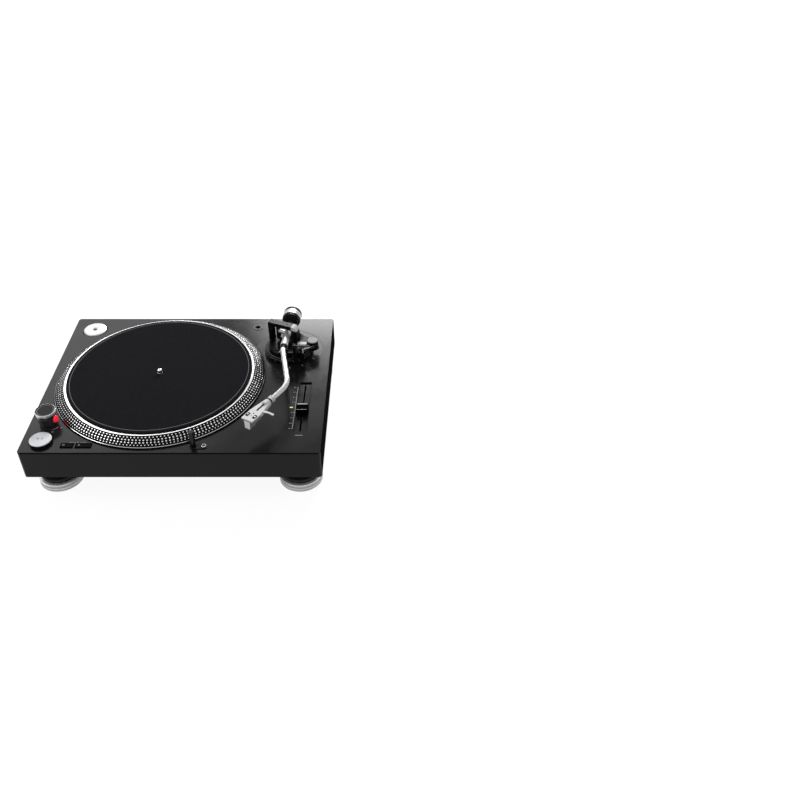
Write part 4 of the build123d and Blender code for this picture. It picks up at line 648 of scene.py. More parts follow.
class TURNTABLE_OT_rim_dots(bpy.types.Operator):
    """Sets four rows of flat round studs on the platter's sloping rim"""

    bl_idname = "turntable.rim_dots"
    bl_label = "Rim dots"

    def execute(self, context):
        sizes = context.scene.turntable_dots
        slope = (SLOPE_TOP - SLOPE_FOOT) / np.linalg.norm(SLOPE_TOP - SLOPE_FOOT)
        normal = np.array([slope[1], -slope[0]])
        # Each row: its way up the slope, the size of its studs and their number, as shares
        rows = [(0.0030, 0.72, 1.06), (0.0068, 1.0, 1.0), (0.0109, 1.0, 1.0),
                (0.0149, 0.86, 0.97)]
        # One stud: rings of points from its middle to its foot, in its own tangent plane
        segments = 10
        ring = np.array([(0.0, 1.0), (0.62, 1.0), (0.88, 0.9), (1.0, 0.45), (1.03, -0.6)])
        around = np.linspace(0, 2 * pi, segments, endpoint=False)
        parts = []
        for place, share, pace in rows:
            count = int(round(sizes.count * pace / 2) * 2)
            turns = np.linspace(0, 2 * pi, count, endpoint=False)
            centre = SLOPE_FOOT + slope * place
            size = sizes.radius * share
            tangent = ring[1:, 0, None] * np.cos(around) * size
            up_slope = ring[1:, 0, None] * np.sin(around) * size
            lift = np.broadcast_to(ring[1:, 1, None] * sizes.height, tangent.shape)
            local = np.concatenate([[[0, 0, sizes.height]], np.stack(
                [tangent, up_slope, lift], axis=-1).reshape(-1, 3)])
            radial = np.stack([np.cos(turns), np.sin(turns), np.zeros(count)], axis=1)
            along = np.stack([-np.sin(turns), np.cos(turns), np.zeros(count)], axis=1)
            rise = radial * slope[0] + np.array([0, 0, slope[1]])
            out = radial * normal[0] + np.array([0, 0, normal[1]])
            base = radial * centre[0] + np.array([SPINDLE[0], SPINDLE[1], DECK + centre[1]])
            points = (base[:, None] + local[None, :, 0, None] * along[:, None]
                      + local[None, :, 1, None] * rise[:, None]
                      + local[None, :, 2, None] * out[:, None])
            band = grid_faces(4, segments, False, True) + 1
            step = np.arange(segments)
            cap = np.stack([np.zeros(segments, int), 1 + (step + 1) % segments, 1 + step], axis=1)
            foot = 1 + 3 * segments + step
            per = len(local)
            faces = []
            for index in range(count):
                shift = index * per
                faces += [tuple(face) for face in (band + shift).tolist()]
                faces += [tuple(face) for face in (cap + shift).tolist()]
                faces.append(tuple((foot + shift).tolist()))
            parts.append((points.reshape(-1, 3), faces))
        dots = mesh_piece("rim_dots", *joined(parts))
        bright = context.scene.turntable_metal.bright
        finish = Finish("dot metal", bright, 1.0, 0.22)
        finish.mottle(90, 0.10).smudge(140, 0.16, 0.34)
        dress(dots, finish.material)
        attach(dots, "platter")
        return {"FINISHED"}


class TURNTABLE_OT_deck_print(bpy.types.Operator):
    """Prints the pitch scale, the speed bracket and the power arc on the deck"""

    bl_idname = "turntable.deck_print"
    bl_label = "Deck print"

    def execute(self, context):
        deck = context.scene.turntable_deck
        thick = deck.print_height
        parts = (self.pitch_scale(deck.number_size, thick) + self.key_bracket(thick)
                 + self.power_arc(thick))
        printed = mesh_piece("deck_print", *joined(parts), smooth=False)
        finish = Finish("white ink", deck.print_colour, 0.0, 0.55)
        finish.mottle(700, 0.12).smudge(300, 0.48, 0.66)
        dress(printed, finish.material)
        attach(printed, "case")
        self.key_numbers(finish.material, thick)
        self.button_signs(thick)
        return {"FINISHED"}

    def pitch_scale(self, size, thick):
        """Long lines with plain numbers, short ones between, and the line they start from."""
        lift = thick / 2
        parts = []
        for index in range(-4, 5):
            y = SCALE_MIDDLE + index * SCALE_STEP
            if index:
                parts.append(on_deck(tick(0.0030, 0.00035, thick), 0.1771, y, lift))
                parts.append(on_deck(text_part(str(abs(index) * 2), size, thick), 0.1736, y, lift))
        for index in range(-8, 9):
            if index % 2:
                y = SCALE_MIDDLE + index * SCALE_STEP / 2
                parts.append(on_deck(tick(0.0016, 0.00030, thick), 0.1778, y, lift))
        way = SCALE_LINE[0] - SCALE_LINE[1]
        parts.append(on_deck(tick(way[1], 0.0004, thick), *SCALE_LINE.mean(axis=0), lift,
                             degrees(np.arctan2(way[1], way[0]))))
        # The plain bar in front of the fader
        parts.append(on_deck(tick(0.0120, 0.0006, thick), 0.1895, -0.1356, lift))
        return parts

    def key_bracket(self, thick):
        """Bracket behind the two speed keys, broken by its own plain number."""
        lift = thick / 2
        parts = []
        for start, end in ((-0.1522, -0.1428), (-0.1366, -0.1272)):
            parts.append(on_deck(tick(end - start, 0.0003, thick), (start + end) / 2, -0.1518,
                                 lift))
        for x in (-0.1522, -0.1272):
            parts.append(on_deck(tick(0.0003, 0.0010, thick), x, -0.1522, lift))
        parts.append(on_deck(text_part("78", 0.0026, thick), -0.1397, -0.1516, lift))
        return parts

    def power_arc(self, thick):
        """Flat arc right of the tower, radius (cos t, sin t) round its middle, and two words."""
        turns = np.radians(np.linspace(-62, -30, 13))
        radius, width = 0.0215, 0.00035
        sides = [radius - width / 2, radius + width / 2]
        ring = np.stack([np.stack([TOWER[0] + reach * np.cos(turns),
                                   TOWER[1] + reach * np.sin(turns)], axis=1)
                         for reach in sides], axis=1)
        layers = np.stack([np.concatenate([ring, np.full(ring.shape[:2] + (1,), DECK + z)],
                                          axis=2) for z in (0.0, thick)], axis=2)
        loop = layers[:, [0, 0, 1, 1], [0, 1, 1, 0]]
        faces = [tuple(face) for face in grid_faces(len(turns), 4, False, True).tolist()]
        last = (len(turns) - 1) * 4
        faces += [(0, 1, 2, 3), (last + 3, last + 2, last + 1, last)]
        return [(loop.reshape(-1, 3), faces),
                on_deck(text_part("OFF", 0.0024, thick), -0.1842, -0.1282, thick / 2),
                on_deck(text_part("ON", 0.0024, thick), -0.1742, -0.1185, thick / 2)]

    def key_numbers(self, ink, thick):
        """Plain number on each of the two speed keys."""
        for name, words, x in (("speed_mark_33", "33", -0.1589), ("speed_mark_45", "45", -0.1355)):
            mark = on_deck(text_part(words, 0.0034, thick), x, -0.15905, KEY_TOP + thick / 2)
            piece = mesh_piece(name, *mark, smooth=False)
            dress(piece, ink)
            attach(piece, "speed_button_" + words)

    def button_signs(self, thick):
        """Arrowhead and two short bars on the start button."""
        top = DECK + BUTTON_TOP
        arrow = (np.array([[-0.0016, -0.0019, 0], [-0.0016, 0.0019, 0], [0.0016, 0, 0],
                           [-0.0016, -0.0019, thick], [-0.0016, 0.0019, thick],
                           [0.0016, 0, thick]]),
                 [(0, 1, 2), (5, 4, 3), (0, 3, 4, 1), (1, 4, 5, 2), (2, 5, 3, 0)])
        signs = [placed(arrow, (START[0] - 0.0032, START[1] + 0.001, top), RIGHT, REAR, UP)]
        for x in (0.0024, 0.0040):
            signs.append(placed(tick(0.0008, 0.0038, thick),
                                (START[0] + x, START[1] + 0.001, top + thick / 2), RIGHT, REAR,
                                UP))
        piece = mesh_piece("start_stop_signs", *joined(signs), smooth=False)
        dark = Finish("grey ink", (0.16, 0.16, 0.17), 0.0, 0.5)
        dark.mottle(500, 0.15)
        dress(piece, dark.material)
        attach(piece, "start_stop_button")


class TURNTABLE_OT_arm_print(bpy.types.Operator):
    """Prints the height lines on the arm's base and the force scale on its dial"""

    bl_idname = "turntable.arm_print"
    bl_label = "Arm print"

    def execute(self, context):
        deck = context.scene.turntable_deck
        thick = deck.print_height
        finish = Finish("arm ink", (0.62, 0.62, 0.63), 0.0, 0.5)
        finish.mottle(600, 0.12).smudge(300, 0.45, 0.6)
        marks = []
        for turn in (-84, -59, -29):
            out, side = spoke(turn)
            spot = np.array([ARM[0], ARM[1], DECK + thick / 2]) + out * 0.0485
            marks.append(placed(tick(0.0050, 0.0006, thick), spot, out, side, UP))
        base = mesh_piece("arm_base_lines", *joined(marks), smooth=False)
        dress(base, finish.material)
        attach(base, "case")

        # Height scale: short lines round the ring's side, with a number under every other
        ring_marks = []
        for index, turn in enumerate(np.arange(-150, 16, 15.0)):
            out, side = spoke(turn)
            centre = np.array([ARM[0], ARM[1], DECK]) + out * (RING_RADIUS + thick / 2)
            ring_marks.append(placed(tick(0.00035, 0.0022, thick),
                                     centre + np.array([0, 0, 0.0058]), side, UP, out))
            if index % 2 == 0:
                ring_marks.append(placed(text_part(str(index // 2), 0.0024, thick),
                                         centre + np.array([0, 0, 0.0028]), side, UP, out))
        ring = mesh_piece("height_ring_scale", *joined(ring_marks), smooth=False)
        dress(ring, finish.material)
        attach(ring, "height_ring")

        # Force scale: lines and numbers round the dial behind the pivot
        axis = -MAIN_WAY
        centre = TUBE + axis * DIAL_BACK
        scale = []
        for index in range(24):
            turn = index * 15.0
            out = ARM_UP * cos(radians(turn)) + np.cross(axis, ARM_UP) * sin(radians(turn))
            side = np.cross(out, axis)
            spot = centre + out * (DIAL_RADIUS + thick / 2)
            length = 0.0012 if index % 4 == 0 else 0.0008
            scale.append(placed(tick(0.0003, length, thick), spot + axis * (0.0018 - length / 2),
                                side, axis, out))
            if index % 4 == 0:
                figure = text_part(str(index // 4), 0.0018, thick)
                scale.append(placed(figure, spot - axis * 0.0003, -side, -axis, out))
        dial = mesh_piece("force_dial_scale", *joined(scale), smooth=False)
        dress(dial, finish.material)
        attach(dial, "force_dial")

        # Anti-skate scale: lines round the knob's top
        knob_marks = []
        for index in range(12):
            turn = index * 25.0 + 100
            out, side = spoke(turn)
            spot = np.array([SKATE[0], SKATE[1], DECK + KNOB_TOP + thick / 2]) + out * 0.0068
            knob_marks.append(placed(tick(0.0014, 0.0003, thick), spot, out, side, UP))
            if index % 3 == 0:
                figure = text_part(str(index // 3 * 2), 0.0022, thick)
                knob_marks.append(placed(figure, spot - out * 0.0024, side * -1, out, UP))
        knob = mesh_piece("antiskate_scale", *joined(knob_marks), smooth=False)
        dress(knob, finish.material)
        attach(knob, "antiskate_knob")
        return {"FINISHED"}


class TURNTABLE_OT_small_trim(bpy.types.Operator):
    """Adds small trim: the lamp's lenses, the fader's lines, the cartridge's screws and slots"""

    bl_idname = "turntable.small_trim"
    bl_label = "Small trim"

    def execute(self, context):
        # Lenses on the lamp's flat face: shallow domes, (r cos t, r sin t, h (1 - r squared))
        lenses = []
        for height in (0.0262, 0.0228):
            share = np.linspace(0, 1, 7)
            profile = [(0.0012 * r, 0.0007 * (1 - r * r)) for r in share]
            profile += [(0.0012, -0.0003), (0.0, -0.0003)]
            lenses.append(turned_shell(profile, (LAMP[0], LAMP[1] + 0.0030, DECK + height),
                                       REAR, RIGHT, 18))
        lens = mesh_piece("target_lamp_lenses", *joined(lenses))
        glass = Finish("lamp lens glint glow", (0.92, 0.94, 1.0), 0.0, 0.08)
        # Painted glints: the lenses glow faintly to show bright glints on them
        glass.set(Emission_Color=(0.85, 0.92, 1.0, 1), Emission_Strength=0.6)
        glass.mottle(400, 0.05)
        dress(lens, glass.material)
        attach(lens, "target_lamp")

        # Painted highlights: pale lines along the two long edges of the fader's cap
        lines = [slab_part((FADER_X - 0.0078, FADER_Y + y, DECK + 0.0097),
                           (FADER_X + 0.0078, FADER_Y + y + width, DECK + 0.00988))
                 for y, width in ((0.0061, 0.0011), (-0.0070, 0.0003))]
        cap_highlight_lines = mesh_piece("fader_edge_highlights", *joined(lines), smooth=False)
        white = Finish("fader edge highlight", (0.75, 0.75, 0.76), 0.0, 0.45)
        white.mottle(500, 0.08)
        dress(cap_highlight_lines, white.material)
        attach(cap_highlight_lines, "pitch_fader_cap")

        # Two round screw heads that hold the cartridge
        screws = []
        for side in (-1, 1):
            spot = (TUBE_END + FRONT_WAY * SCREWS_AHEAD + ARM_RIGHT * side * SCREW_SIDE
                    + ARM_UP * 0.0026)
            head = [(0.0, 0.0), (0.0010, 0.0), (0.0011, 0.0003), (0.0011, 0.0014),
                    (0.0010, 0.0018), (0.0005, 0.0019), (0.0, 0.0019)]
            screws.append(turned_shell(head, spot, ARM_UP, ARM_RIGHT, 24))
        # Dark plates of painted shade in the headshell's slots: aside, ahead, length, width
        level = TUBE_END + ARM_UP * 0.00372
        shades = []
        for side, ahead, length, width in ((-SCREW_SIDE, SCREWS_AHEAD, 0.0082, 0.0048),
                                           (SCREW_SIDE, SCREWS_AHEAD, 0.0082, 0.0048),
                                           (0.0, 0.0420, 0.0018, 0.0018),
                                           (0.0, 0.0255, 0.0176, 0.0028)):
            shades.append(placed(slab_part((-width / 2, -length / 2, -0.0001),
                                           (width / 2, length / 2, 0.0001)),
                                 level + FRONT_WAY * ahead + ARM_RIGHT * side, ARM_RIGHT,
                                 -FRONT_WAY, ARM_UP))
        slot_shade_plates = mesh_piece("headshell_slot_shades", *joined(shades), smooth=False)
        slot_shade_finish = Finish("slot shade black", (0.006, 0.006, 0.0065), 0.0, 0.6)
        slot_shade_finish.set(Specular_IOR_Level=0.03)
        slot_shade_finish.mottle(300, 0.2)
        dress(slot_shade_plates, slot_shade_finish.material)
        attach(slot_shade_plates, "headshell")
        heads = mesh_piece("cartridge_screws", *joined(screws))
        dress(heads, spun_metal("screw metal", (0.62, 0.62, 0.63), tuple(TUBE_END), tuple(ARM_UP),
                                0.25))
        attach(heads, "headshell")
        return {"FINISHED"}


class TURNTABLE_OT_case_finish(bpy.types.Operator):
    """Finishes the plinth, its cover, the feet and everything fixed to them"""

    bl_idname = "turntable.case_finish"
    bl_label = "Case finish"

    def execute(self, context):
        deck = context.scene.turntable_deck
        metal = context.scene.turntable_metal
        dress("plinth", self.case_paint(deck.paint))
        # Arm base plate: the black band round its rim is painted shade
        dress("arm_base_plate", banded_metal(
            "arm base paint", lambda f: f.reach(deck_point(ARM), UP), (0.0, 0.06),
            [(0.0, (0.010, 0.010, 0.0113), 0.0, 0.2), (0.0560, SHADOW, 0.0, 0.4)],
            gloss=0.14))
        dress("bottom_cover", soft_rubber("cover rubber", (0.020, 0.020, 0.021)))
        dress("case_screws", cast_metal("black zinc", (0.10, 0.10, 0.11), 0.38))
        dress("motor_plate", drawn_metal("motor plate steel", (0.56, 0.57, 0.58), RIGHT, 0.3))
        dress("stator_core", drawn_metal("core steel", (0.24, 0.24, 0.25), UP, 0.4))
        wire = Finish("coil wire", (0.55, 0.22, 0.08), 0.9, 0.25)
        wire.mottle(120, 0.2)
        wire.relief(wire.noise(30, 1.0, stretch=(20, 20, 160)), 0.8, 0.0004)
        dress("stator_coils", wire.material)
        for node in ("main_board", "control_board"):
            board = Finish(node.replace("_", " ") + " lacquer", (0.02, 0.12, 0.05), 0.0, 0.3)
            level = DECK + (-0.0364 if node == "main_board" else -0.0154)
            height = board.span(board.along((0, 0, level), UP), -0.001, 0.02)
            tones = board.ramp(height, [(0.0, (0.02, 0.12, 0.05)), (0.055, (0.03, 0.03, 0.032)),
                                        (0.5, (0.10, 0.10, 0.11))])
            traces = board.span(board.noise(320, 1.0, 0.2), 0.52, 0.54)
            board.mottle(200, 0.15, board.mix(board.number("MULTIPLY", traces, 0.35), tones,
                                              (0.06, 0.26, 0.12)))
            board.smudge(90, 0.25, 0.45)
            dress(node, board.material)
        winding = Finish("transformer iron", (0.09, 0.09, 0.095), 0.6, 0.45)
        sheets = winding.noise(8, 1.0, stretch=(1, 1, 140))
        winding.mottle(60, 0.25).relief(sheets, 0.5, 0.0003)
        dress("transformer", winding.material)
        dress("pitch_fader_box", moulded_plastic("fader box plastic", (0.03, 0.03, 0.032)))
        dress("jack_panel", moulded_plastic("panel plastic", (0.022, 0.022, 0.023), 0.5))
        dress("power_inlet", moulded_plastic("inlet plastic", (0.016, 0.016, 0.017), 0.4))
        dress("hinge_sockets", moulded_plastic("hinge plastic", (0.02, 0.02, 0.021), 0.5))
        jacks = banded_metal(
            "jack metal", lambda f: f.along((0, 0.161, 0), REAR), (-0.016, 0.012),
            [(-0.016, (0.45, 0.45, 0.46), 1.0, 0.35), (0.0016, (0.78, 0.56, 0.24), 1.0, 0.18)])
        dress("output_sockets", jacks)
        dress("line_switch", moulded_plastic("switch plastic", (0.05, 0.05, 0.052), 0.4))
        dress("ground_nut", drawn_metal("ground nut metal", metal.bright, REAR, 0.2))
        dress("headshell_store", black_anodised("store metal", metal.black, 0.32))

        # Feet: one pattern serves all four, made round each foot's own middle
        for place in ("front_left", "front_right", "rear_left", "rear_right"):
            side = (1 if "right" in place else -1, 1 if "rear" in place else -1)
            centre = (FOOT[0] * side[0], FOOT[1] * side[1], 0.0)
            dress("foot_housing_" + place, self.housing(centre, place))
            dress("foot_ring_" + place, self.ring(centre, place, metal.silver))
            dress("foot_pad_" + place, soft_rubber("pad rubber " + place, (0.015, 0.015, 0.016)))
        return {"FINISHED"}

    def case_paint(self, colour):
        """Satin paint with dull side walls and two kinds of black line.

        One is painted shade under the deck's edge, where a gap would fall dark, and one is painted
        shade along both long sides of the fader's dish. The walls are told from the deck by their
        place across and along the plinth.
        """
        finish = Finish("deck paint", colour, 0.0, 0.3)
        height = finish.along((0, 0, DECK), UP)
        beside = finish.number("GREATER_THAN", finish.number(
            "ABSOLUTE", finish.along(ORIGIN, RIGHT)), WALL_X)
        before = finish.number("GREATER_THAN", finish.number(
            "ABSOLUTE", finish.along(ORIGIN, REAR)), WALL_Y)
        # Painted shade: a black band on the walls just under the deck's edge, and black lines along
        # the dish's long sides
        under = finish.number("MULTIPLY", finish.number("LESS_THAN", height, -0.0006),
                              finish.number("GREATER_THAN", height, -0.0024))
        rim = finish.number("MULTIPLY", finish.number("MAXIMUM", beside, before), under)
        side = finish.number("ABSOLUTE", finish.along((FADER_X, 0, 0), RIGHT))
        dish = finish.number("MULTIPLY", finish.near(side, 0.0094, 0.00035),
                             finish.near(finish.along((0, -0.0672, 0), REAR), 0.0, 0.0600))
        line = finish.number("MAXIMUM", rim, dish)
        gloss = finish.number("SUBTRACT", 0.14, finish.number("MULTIPLY", beside, 0.14))
        finish.paint("Specular IOR Level", finish.number(
            "MULTIPLY", gloss, finish.number("SUBTRACT", 1.0, line)))
        finish.mottle(35, 0.06, finish.mix(line, colour, SHADOW))
        finish.smudge(18, 0.15, 0.22)
        return finish.relief(finish.noise(2600, 2.0), 0.10, 0.00008).material

    def housing(self, centre, place):
        """Gloss black with a grey lip low down, by height above the floor."""
        return banded_metal(
            "foot housing " + place, lambda f: f.along(centre, UP), (0.0, 0.07),
            [(0.0, (0.006, 0.006, 0.0065), 0.0, 0.3), (0.0192, (0.055, 0.055, 0.058), 0.0, 0.3),
             (0.0222, (0.003, 0.003, 0.0035), 0.0, 0.3)])

    def ring(self, centre, place, colour):
        """Satin ring with fine upright ribs: sine of the angle round the foot's middle."""
        finish = Finish("foot ring " + place, colour, 0.4, 0.4)
        finish.set(Specular_IOR_Level=0.1)
        height = finish.span(finish.along(centre, UP), 0.0, 0.0150)
        # Bands up the ring's height, with two dark bands; the near-white band at the top is a
        # painted highlight on its top edge
        tones = finish.ramp(height, [(0.0, 0.66), (0.30, 0.20), (0.35, 0.66), (0.62, 0.24),
                                     (0.67, 0.46), (0.87, 0.95)])
        turn = finish.turn(centre, RIGHT, REAR)
        ribs = finish.number("SINE", finish.number("MULTIPLY", turn, 150.0))
        low = finish.number("LESS_THAN", finish.along(centre, UP), 0.0128)
        finish.mottle(80, 0.04, tones).smudge(60, 0.36, 0.48)
        return finish.relief(finish.number("MULTIPLY", ribs, low), 0.05, 0.0001).material


class TURNTABLE_OT_platter_finish(bpy.types.Operator):
    """Finishes the platter with its dark rim and bright edges, and the spindle"""

    bl_idname = "turntable.platter_finish"
    bl_label = "Platter finish"

    def execute(self, context):
        metal = context.scene.turntable_metal
        centre = deck_point(SPINDLE)
        dark = (0.0045, 0.0045, 0.005)
        cast = (0.40, 0.40, 0.41)
        platter = banded_metal(
            "platter metal", lambda f: f.reach(centre, UP), (0.0, 0.17),
            [(0.0, cast, 1.0, 0.42), (0.14705, metal.bright, 1.0, 0.16),
             (0.15055, dark, 0.0, 0.30), (0.1654, metal.bright, 1.0, 0.16)], lines=4000)
        dress("platter", platter)
        dress("rotor_magnet", cast_metal("magnet ferrite", (0.05, 0.05, 0.055), 0.6, 0.3))
        dress("spindle", spun_metal("spindle steel", (0.78, 0.78, 0.79), centre, UP, 0.12))
        return {"FINISHED"}


class TURNTABLE_OT_control_finish(bpy.types.Operator):
    """Finishes the buttons, keys, tower, lamp, fader, adaptor and lights"""

    bl_idname = "turntable.control_finish"
    bl_label = "Control finish"

    def execute(self, context):
        metal = context.scene.turntable_metal
        # Start button by height: deck colour low on its side, then a near-black band of painted
        # shade, then the silver top
        dress("start_stop_button", banded_metal(
            "button metal", lambda f: f.along(deck_point(START), UP), (-0.01, 0.01),
            [(-0.01, (0.010, 0.010, 0.0113), 0.0, 0.4), (0.0026, (0.002, 0.002, 0.002), 0.0, 0.4),
             (0.0050, (0.60, 0.61, 0.63), 0.3, 0.4)]))
        dress("large_hole_adaptor", spun_metal("adaptor metal", (0.60, 0.61, 0.63),
                                               deck_point(ADAPTOR), UP, 0.38, 3800, 0.4))
        for node in ("speed_button_33", "speed_button_45"):
            dress(node, moulded_plastic(node.replace("_", " "), (0.0022, 0.0022, 0.0025), 0.4,
                                        0.02))
        dress("strobe_tower", spun_metal("tower metal", metal.gunmetal, deck_point(TOWER), UP,
                                         0.34, 3000))
        dial = banded_metal(
            "power dial metal", lambda f: f.reach(deck_point(TOWER), UP), (0.0, 0.016),
            [(0.0, (0.030, 0.030, 0.033), 0.0, 0.42), (0.0118, (0.42, 0.42, 0.43), 0.0, 0.3),
             (0.0125, JET, 0.0, 0.3), (0.0145, (0.66, 0.66, 0.67), 0.5, 0.3)],
            lines=3000)
        dress("power_dial", dial)
        lens = Finish("red lens", (0.55, 0.004, 0.012), 0.0, 0.10)
        lens.set(Transmission_Weight=0.25, IOR=1.49, Emission_Color=(1.0, 0.02, 0.05, 1),
                 Emission_Strength=0.55)
        lens.mottle(200, 0.1)
        dress("strobe_lens", lens.material)
        dress("target_lamp", black_anodised("lamp metal", metal.black, 0.22))
        base = Finish("lamp base metal", (0.012, 0.012, 0.013), 0.0, 0.4)
        base.set(Specular_IOR_Level=0.06)
        knurl = base.number("MULTIPLY",
                            base.number("SINE", base.number("MULTIPLY", base.along(
                                ORIGIN, RIGHT), 5200)),
                            base.number("SINE", base.number("MULTIPLY", base.along(
                                ORIGIN, REAR), 5200)))
        base.mottle(100, 0.1).relief(knurl, 0.3, 0.0002)
        dress("target_lamp_base", base.material)
        button = banded_metal(
            "lamp button metal", lambda f: f.reach(deck_point(LAMP_BUTTON), UP), (0.0, 0.006),
            [(0.0, (0.04, 0.04, 0.043), 0.5, 0.35), (0.0029, metal.silver, 1.0, 0.2)])
        dress("target_lamp_button", button)
        dress("pitch_fader_cap", moulded_plastic("fader cap plastic", (0.003, 0.003, 0.0035), 0.5,
                                                 0.0))
        lights = Finish("indicator light", (0.10, 0.02, 0.02), 0.0, 0.3)
        lights.set(Specular_IOR_Level=0.2, Emission_Strength=0.8)
        side = lights.number("GREATER_THAN", lights.along(ORIGIN, RIGHT), 0.0)
        middle = (0.1725, -0.0699, 0.0)
        core = lights.number("MULTIPLY", lights.near(lights.along(middle, RIGHT), 0.0, 0.0024),
                             lights.near(lights.along(middle, REAR), 0.0, 0.0010))
        pale = lights.mix(core, (0.02, 0.025, 0.008), (0.52, 0.60, 0.22))
        tone = lights.mix(side, (0.022, 0.002, 0.003), pale)
        lights.paint("Base Color", tone).paint("Emission Color", tone)
        lights.smudge(200, 0.15, 0.3)
        dress("indicator_lights", lights.material)
        return {"FINISHED"}


class TURNTABLE_OT_arm_finish(bpy.types.Operator):
    """Finishes the arm, its base, its knobs, the headshell and the cartridge"""

    bl_idname = "turntable.arm_finish"
    bl_label = "Arm finish"

    def execute(self, context):
        metal = context.scene.turntable_metal
        centre = deck_point(ARM)
        # Height ring: black, with two thin grey bands near its rim that are painted highlights on
        # its edges
        dress("height_ring", banded_metal(
            "height ring metal", lambda f: f.reach(centre, UP), (0.0, 0.042),
            [(0.0, metal.black, 0.0, 0.35), (0.0374, (0.14, 0.14, 0.145), 0.3, 0.35),
             (0.0378, metal.black, 0.0, 0.35), (0.0399, (0.12, 0.12, 0.125), 0.3, 0.35),
             (0.0403, metal.black, 0.0, 0.35)], lines=3000))
        dress("arm_housing", self.housing(metal.black))
        dress("arm_rest_clip", moulded_plastic("clip plastic", (0.014, 0.014, 0.015), 0.4))
        knob = banded_metal(
            "anti skate metal", lambda f: f.along(deck_point(SKATE), UP), (0.0, 0.03),
            [(0.0, metal.black, 0.0, 0.3), (0.0246, (0.32, 0.32, 0.33), 0.0, 0.35)])
        dress("antiskate_knob", knob)
        dress("cue_lever", black_anodised("cue lever metal", (0.03, 0.03, 0.032), 0.25))
        dress("lift_platform", soft_rubber("lift rubber", (0.014, 0.014, 0.015)))
        dress("gimbal_yoke", black_anodised("yoke metal", (0.010, 0.010, 0.011), 0.26))
        sleeve = banded_metal(
            "sleeve metal", lambda f: f.along(tuple(TUBE), tuple(MAIN_WAY)), (-0.07, 0.05),
            [(-0.07, (0.10, 0.10, 0.105), 1.0, 0.3), (-0.012, (0.50, 0.50, 0.51), 0.6, 0.3),
             (0.0394, JET, 0.0, 0.4)])
        dress("arm_sleeve", sleeve)
        dress("arm_tube", drawn_metal("tube metal", (0.50, 0.50, 0.51), tuple(MIDDLE_WAY), 0.22,
                                      0.8))
        nut = Finish("collar metal", metal.silver, 0.5, 0.3)
        nut.set(Specular_IOR_Level=0.1)
        length = nut.span(nut.along(tuple(TUBE_END), tuple(FRONT_WAY)), -0.005, 0.004)
        # Bands along the nut: silver, with near-black bands of painted shade in the gaps at both
        # ends and in a groove
        bands = nut.ramp(length, [(0.0, 0.02), (0.10, 0.62), (0.36, 0.05), (0.44, 0.50),
                                  (0.92, 0.03)])
        turn = nut.turn(tuple(TUBE_END), tuple(ARM_RIGHT), tuple(ARM_UP))
        ribs = nut.number("SINE", nut.number("MULTIPLY", turn, 36.0))
        nut.mottle(80, 0.05, bands).relief(ribs, 0.4, 0.0003)
        dress("collar_nut", nut.material)
        dress("headshell", self.shell_paint())
        body = Finish("cartridge shell", (0.34, 0.34, 0.35), 0.0, 0.3)
        front = body.number("GREATER_THAN", body.along(tuple(TUBE_END), tuple(FRONT_WAY)), 0.0588)
        top = body.number("GREATER_THAN", body.along(tuple(TUBE_END), tuple(ARM_UP)), 0.0010)
        tone = body.mix(front, (0.22, 0.22, 0.23), (0.84, 0.84, 0.85))
        body.mottle(60, 0.06, body.mix(top, tone, (0.006, 0.006, 0.006))).smudge(60, 0.2, 0.36)
        dress("cartridge", body.material)
        dial = banded_metal(
            "force dial plastic", lambda f: f.reach(tuple(TUBE), tuple(MAIN_WAY)), (0.0, 0.016),
            [(0.0, (0.05, 0.05, 0.052), 0.6, 0.3), (0.0113, (0.42, 0.42, 0.43), 0.8, 0.3),
             (0.0122, JET, 0.0, 0.3)])
        dress("force_dial", dial)
        weight = banded_metal(
            "counterweight metal", lambda f: f.along(tuple(TUBE), tuple(-MAIN_WAY)),
            (0.03, 0.06),
            [(0.03, (0.03, 0.03, 0.031), 0.0, 0.35), (0.0384, (0.52, 0.52, 0.53), 0.6, 0.35),
             (0.0436, (0.14, 0.14, 0.145), 0.5, 0.35), (0.0446, (0.56, 0.56, 0.57), 0.6, 0.35),
             (0.0488, JET, 0.0, 0.35)])
        dress("counterweight", weight)
        return {"FINISHED"}

    def shell_paint(self):
        """Silver paint with a faint grain and painted shade where the collar nut closes on it."""
        silver = (0.60, 0.60, 0.61)
        finish = Finish("headshell paint", silver, 0.0, 0.4)
        finish.set(Specular_IOR_Level=0.2)
        near = finish.along(tuple(TUBE_END), tuple(FRONT_WAY))
        # Painted shade: near black up to just ahead of the collar nut, in the gap where the nut
        # closes on the headshell
        gap_shade = finish.number("LESS_THAN", near, 0.0062)
        finish.mottle(60, 0.04, finish.mix(gap_shade, silver, (0.02, 0.02, 0.02)))
        finish.smudge(80, 0.34, 0.46)
        return finish.relief(finish.noise(1800, 2.0), 0.06, 0.00005).material

    def housing(self, black):
        """Black metal, with the arch's shoulder and the block beside it in pale metal by place."""
        finish = Finish("arm housing metal", black, 0.0, 0.26)
        finish.set(Specular_IOR_Level=0.08)
        middle = (0.17905, 0.06900, DECK + 0.0166)
        inside = None
        for axis, half in ((RIGHT, 0.0077), (REAR, 0.0040), (UP, 0.0072)):
            near = finish.near(finish.along(middle, axis), 0.0, half)
            inside = near if inside is None else finish.number("MULTIPLY", inside, near)
        dot = finish.number("LESS_THAN", finish.reach((0.1800, 0.0, DECK + 0.0160), REAR),
                            0.0012)
        silver = (0.60, 0.60, 0.61)
        pale = finish.mix(dot, silver, (0.01, 0.01, 0.01))
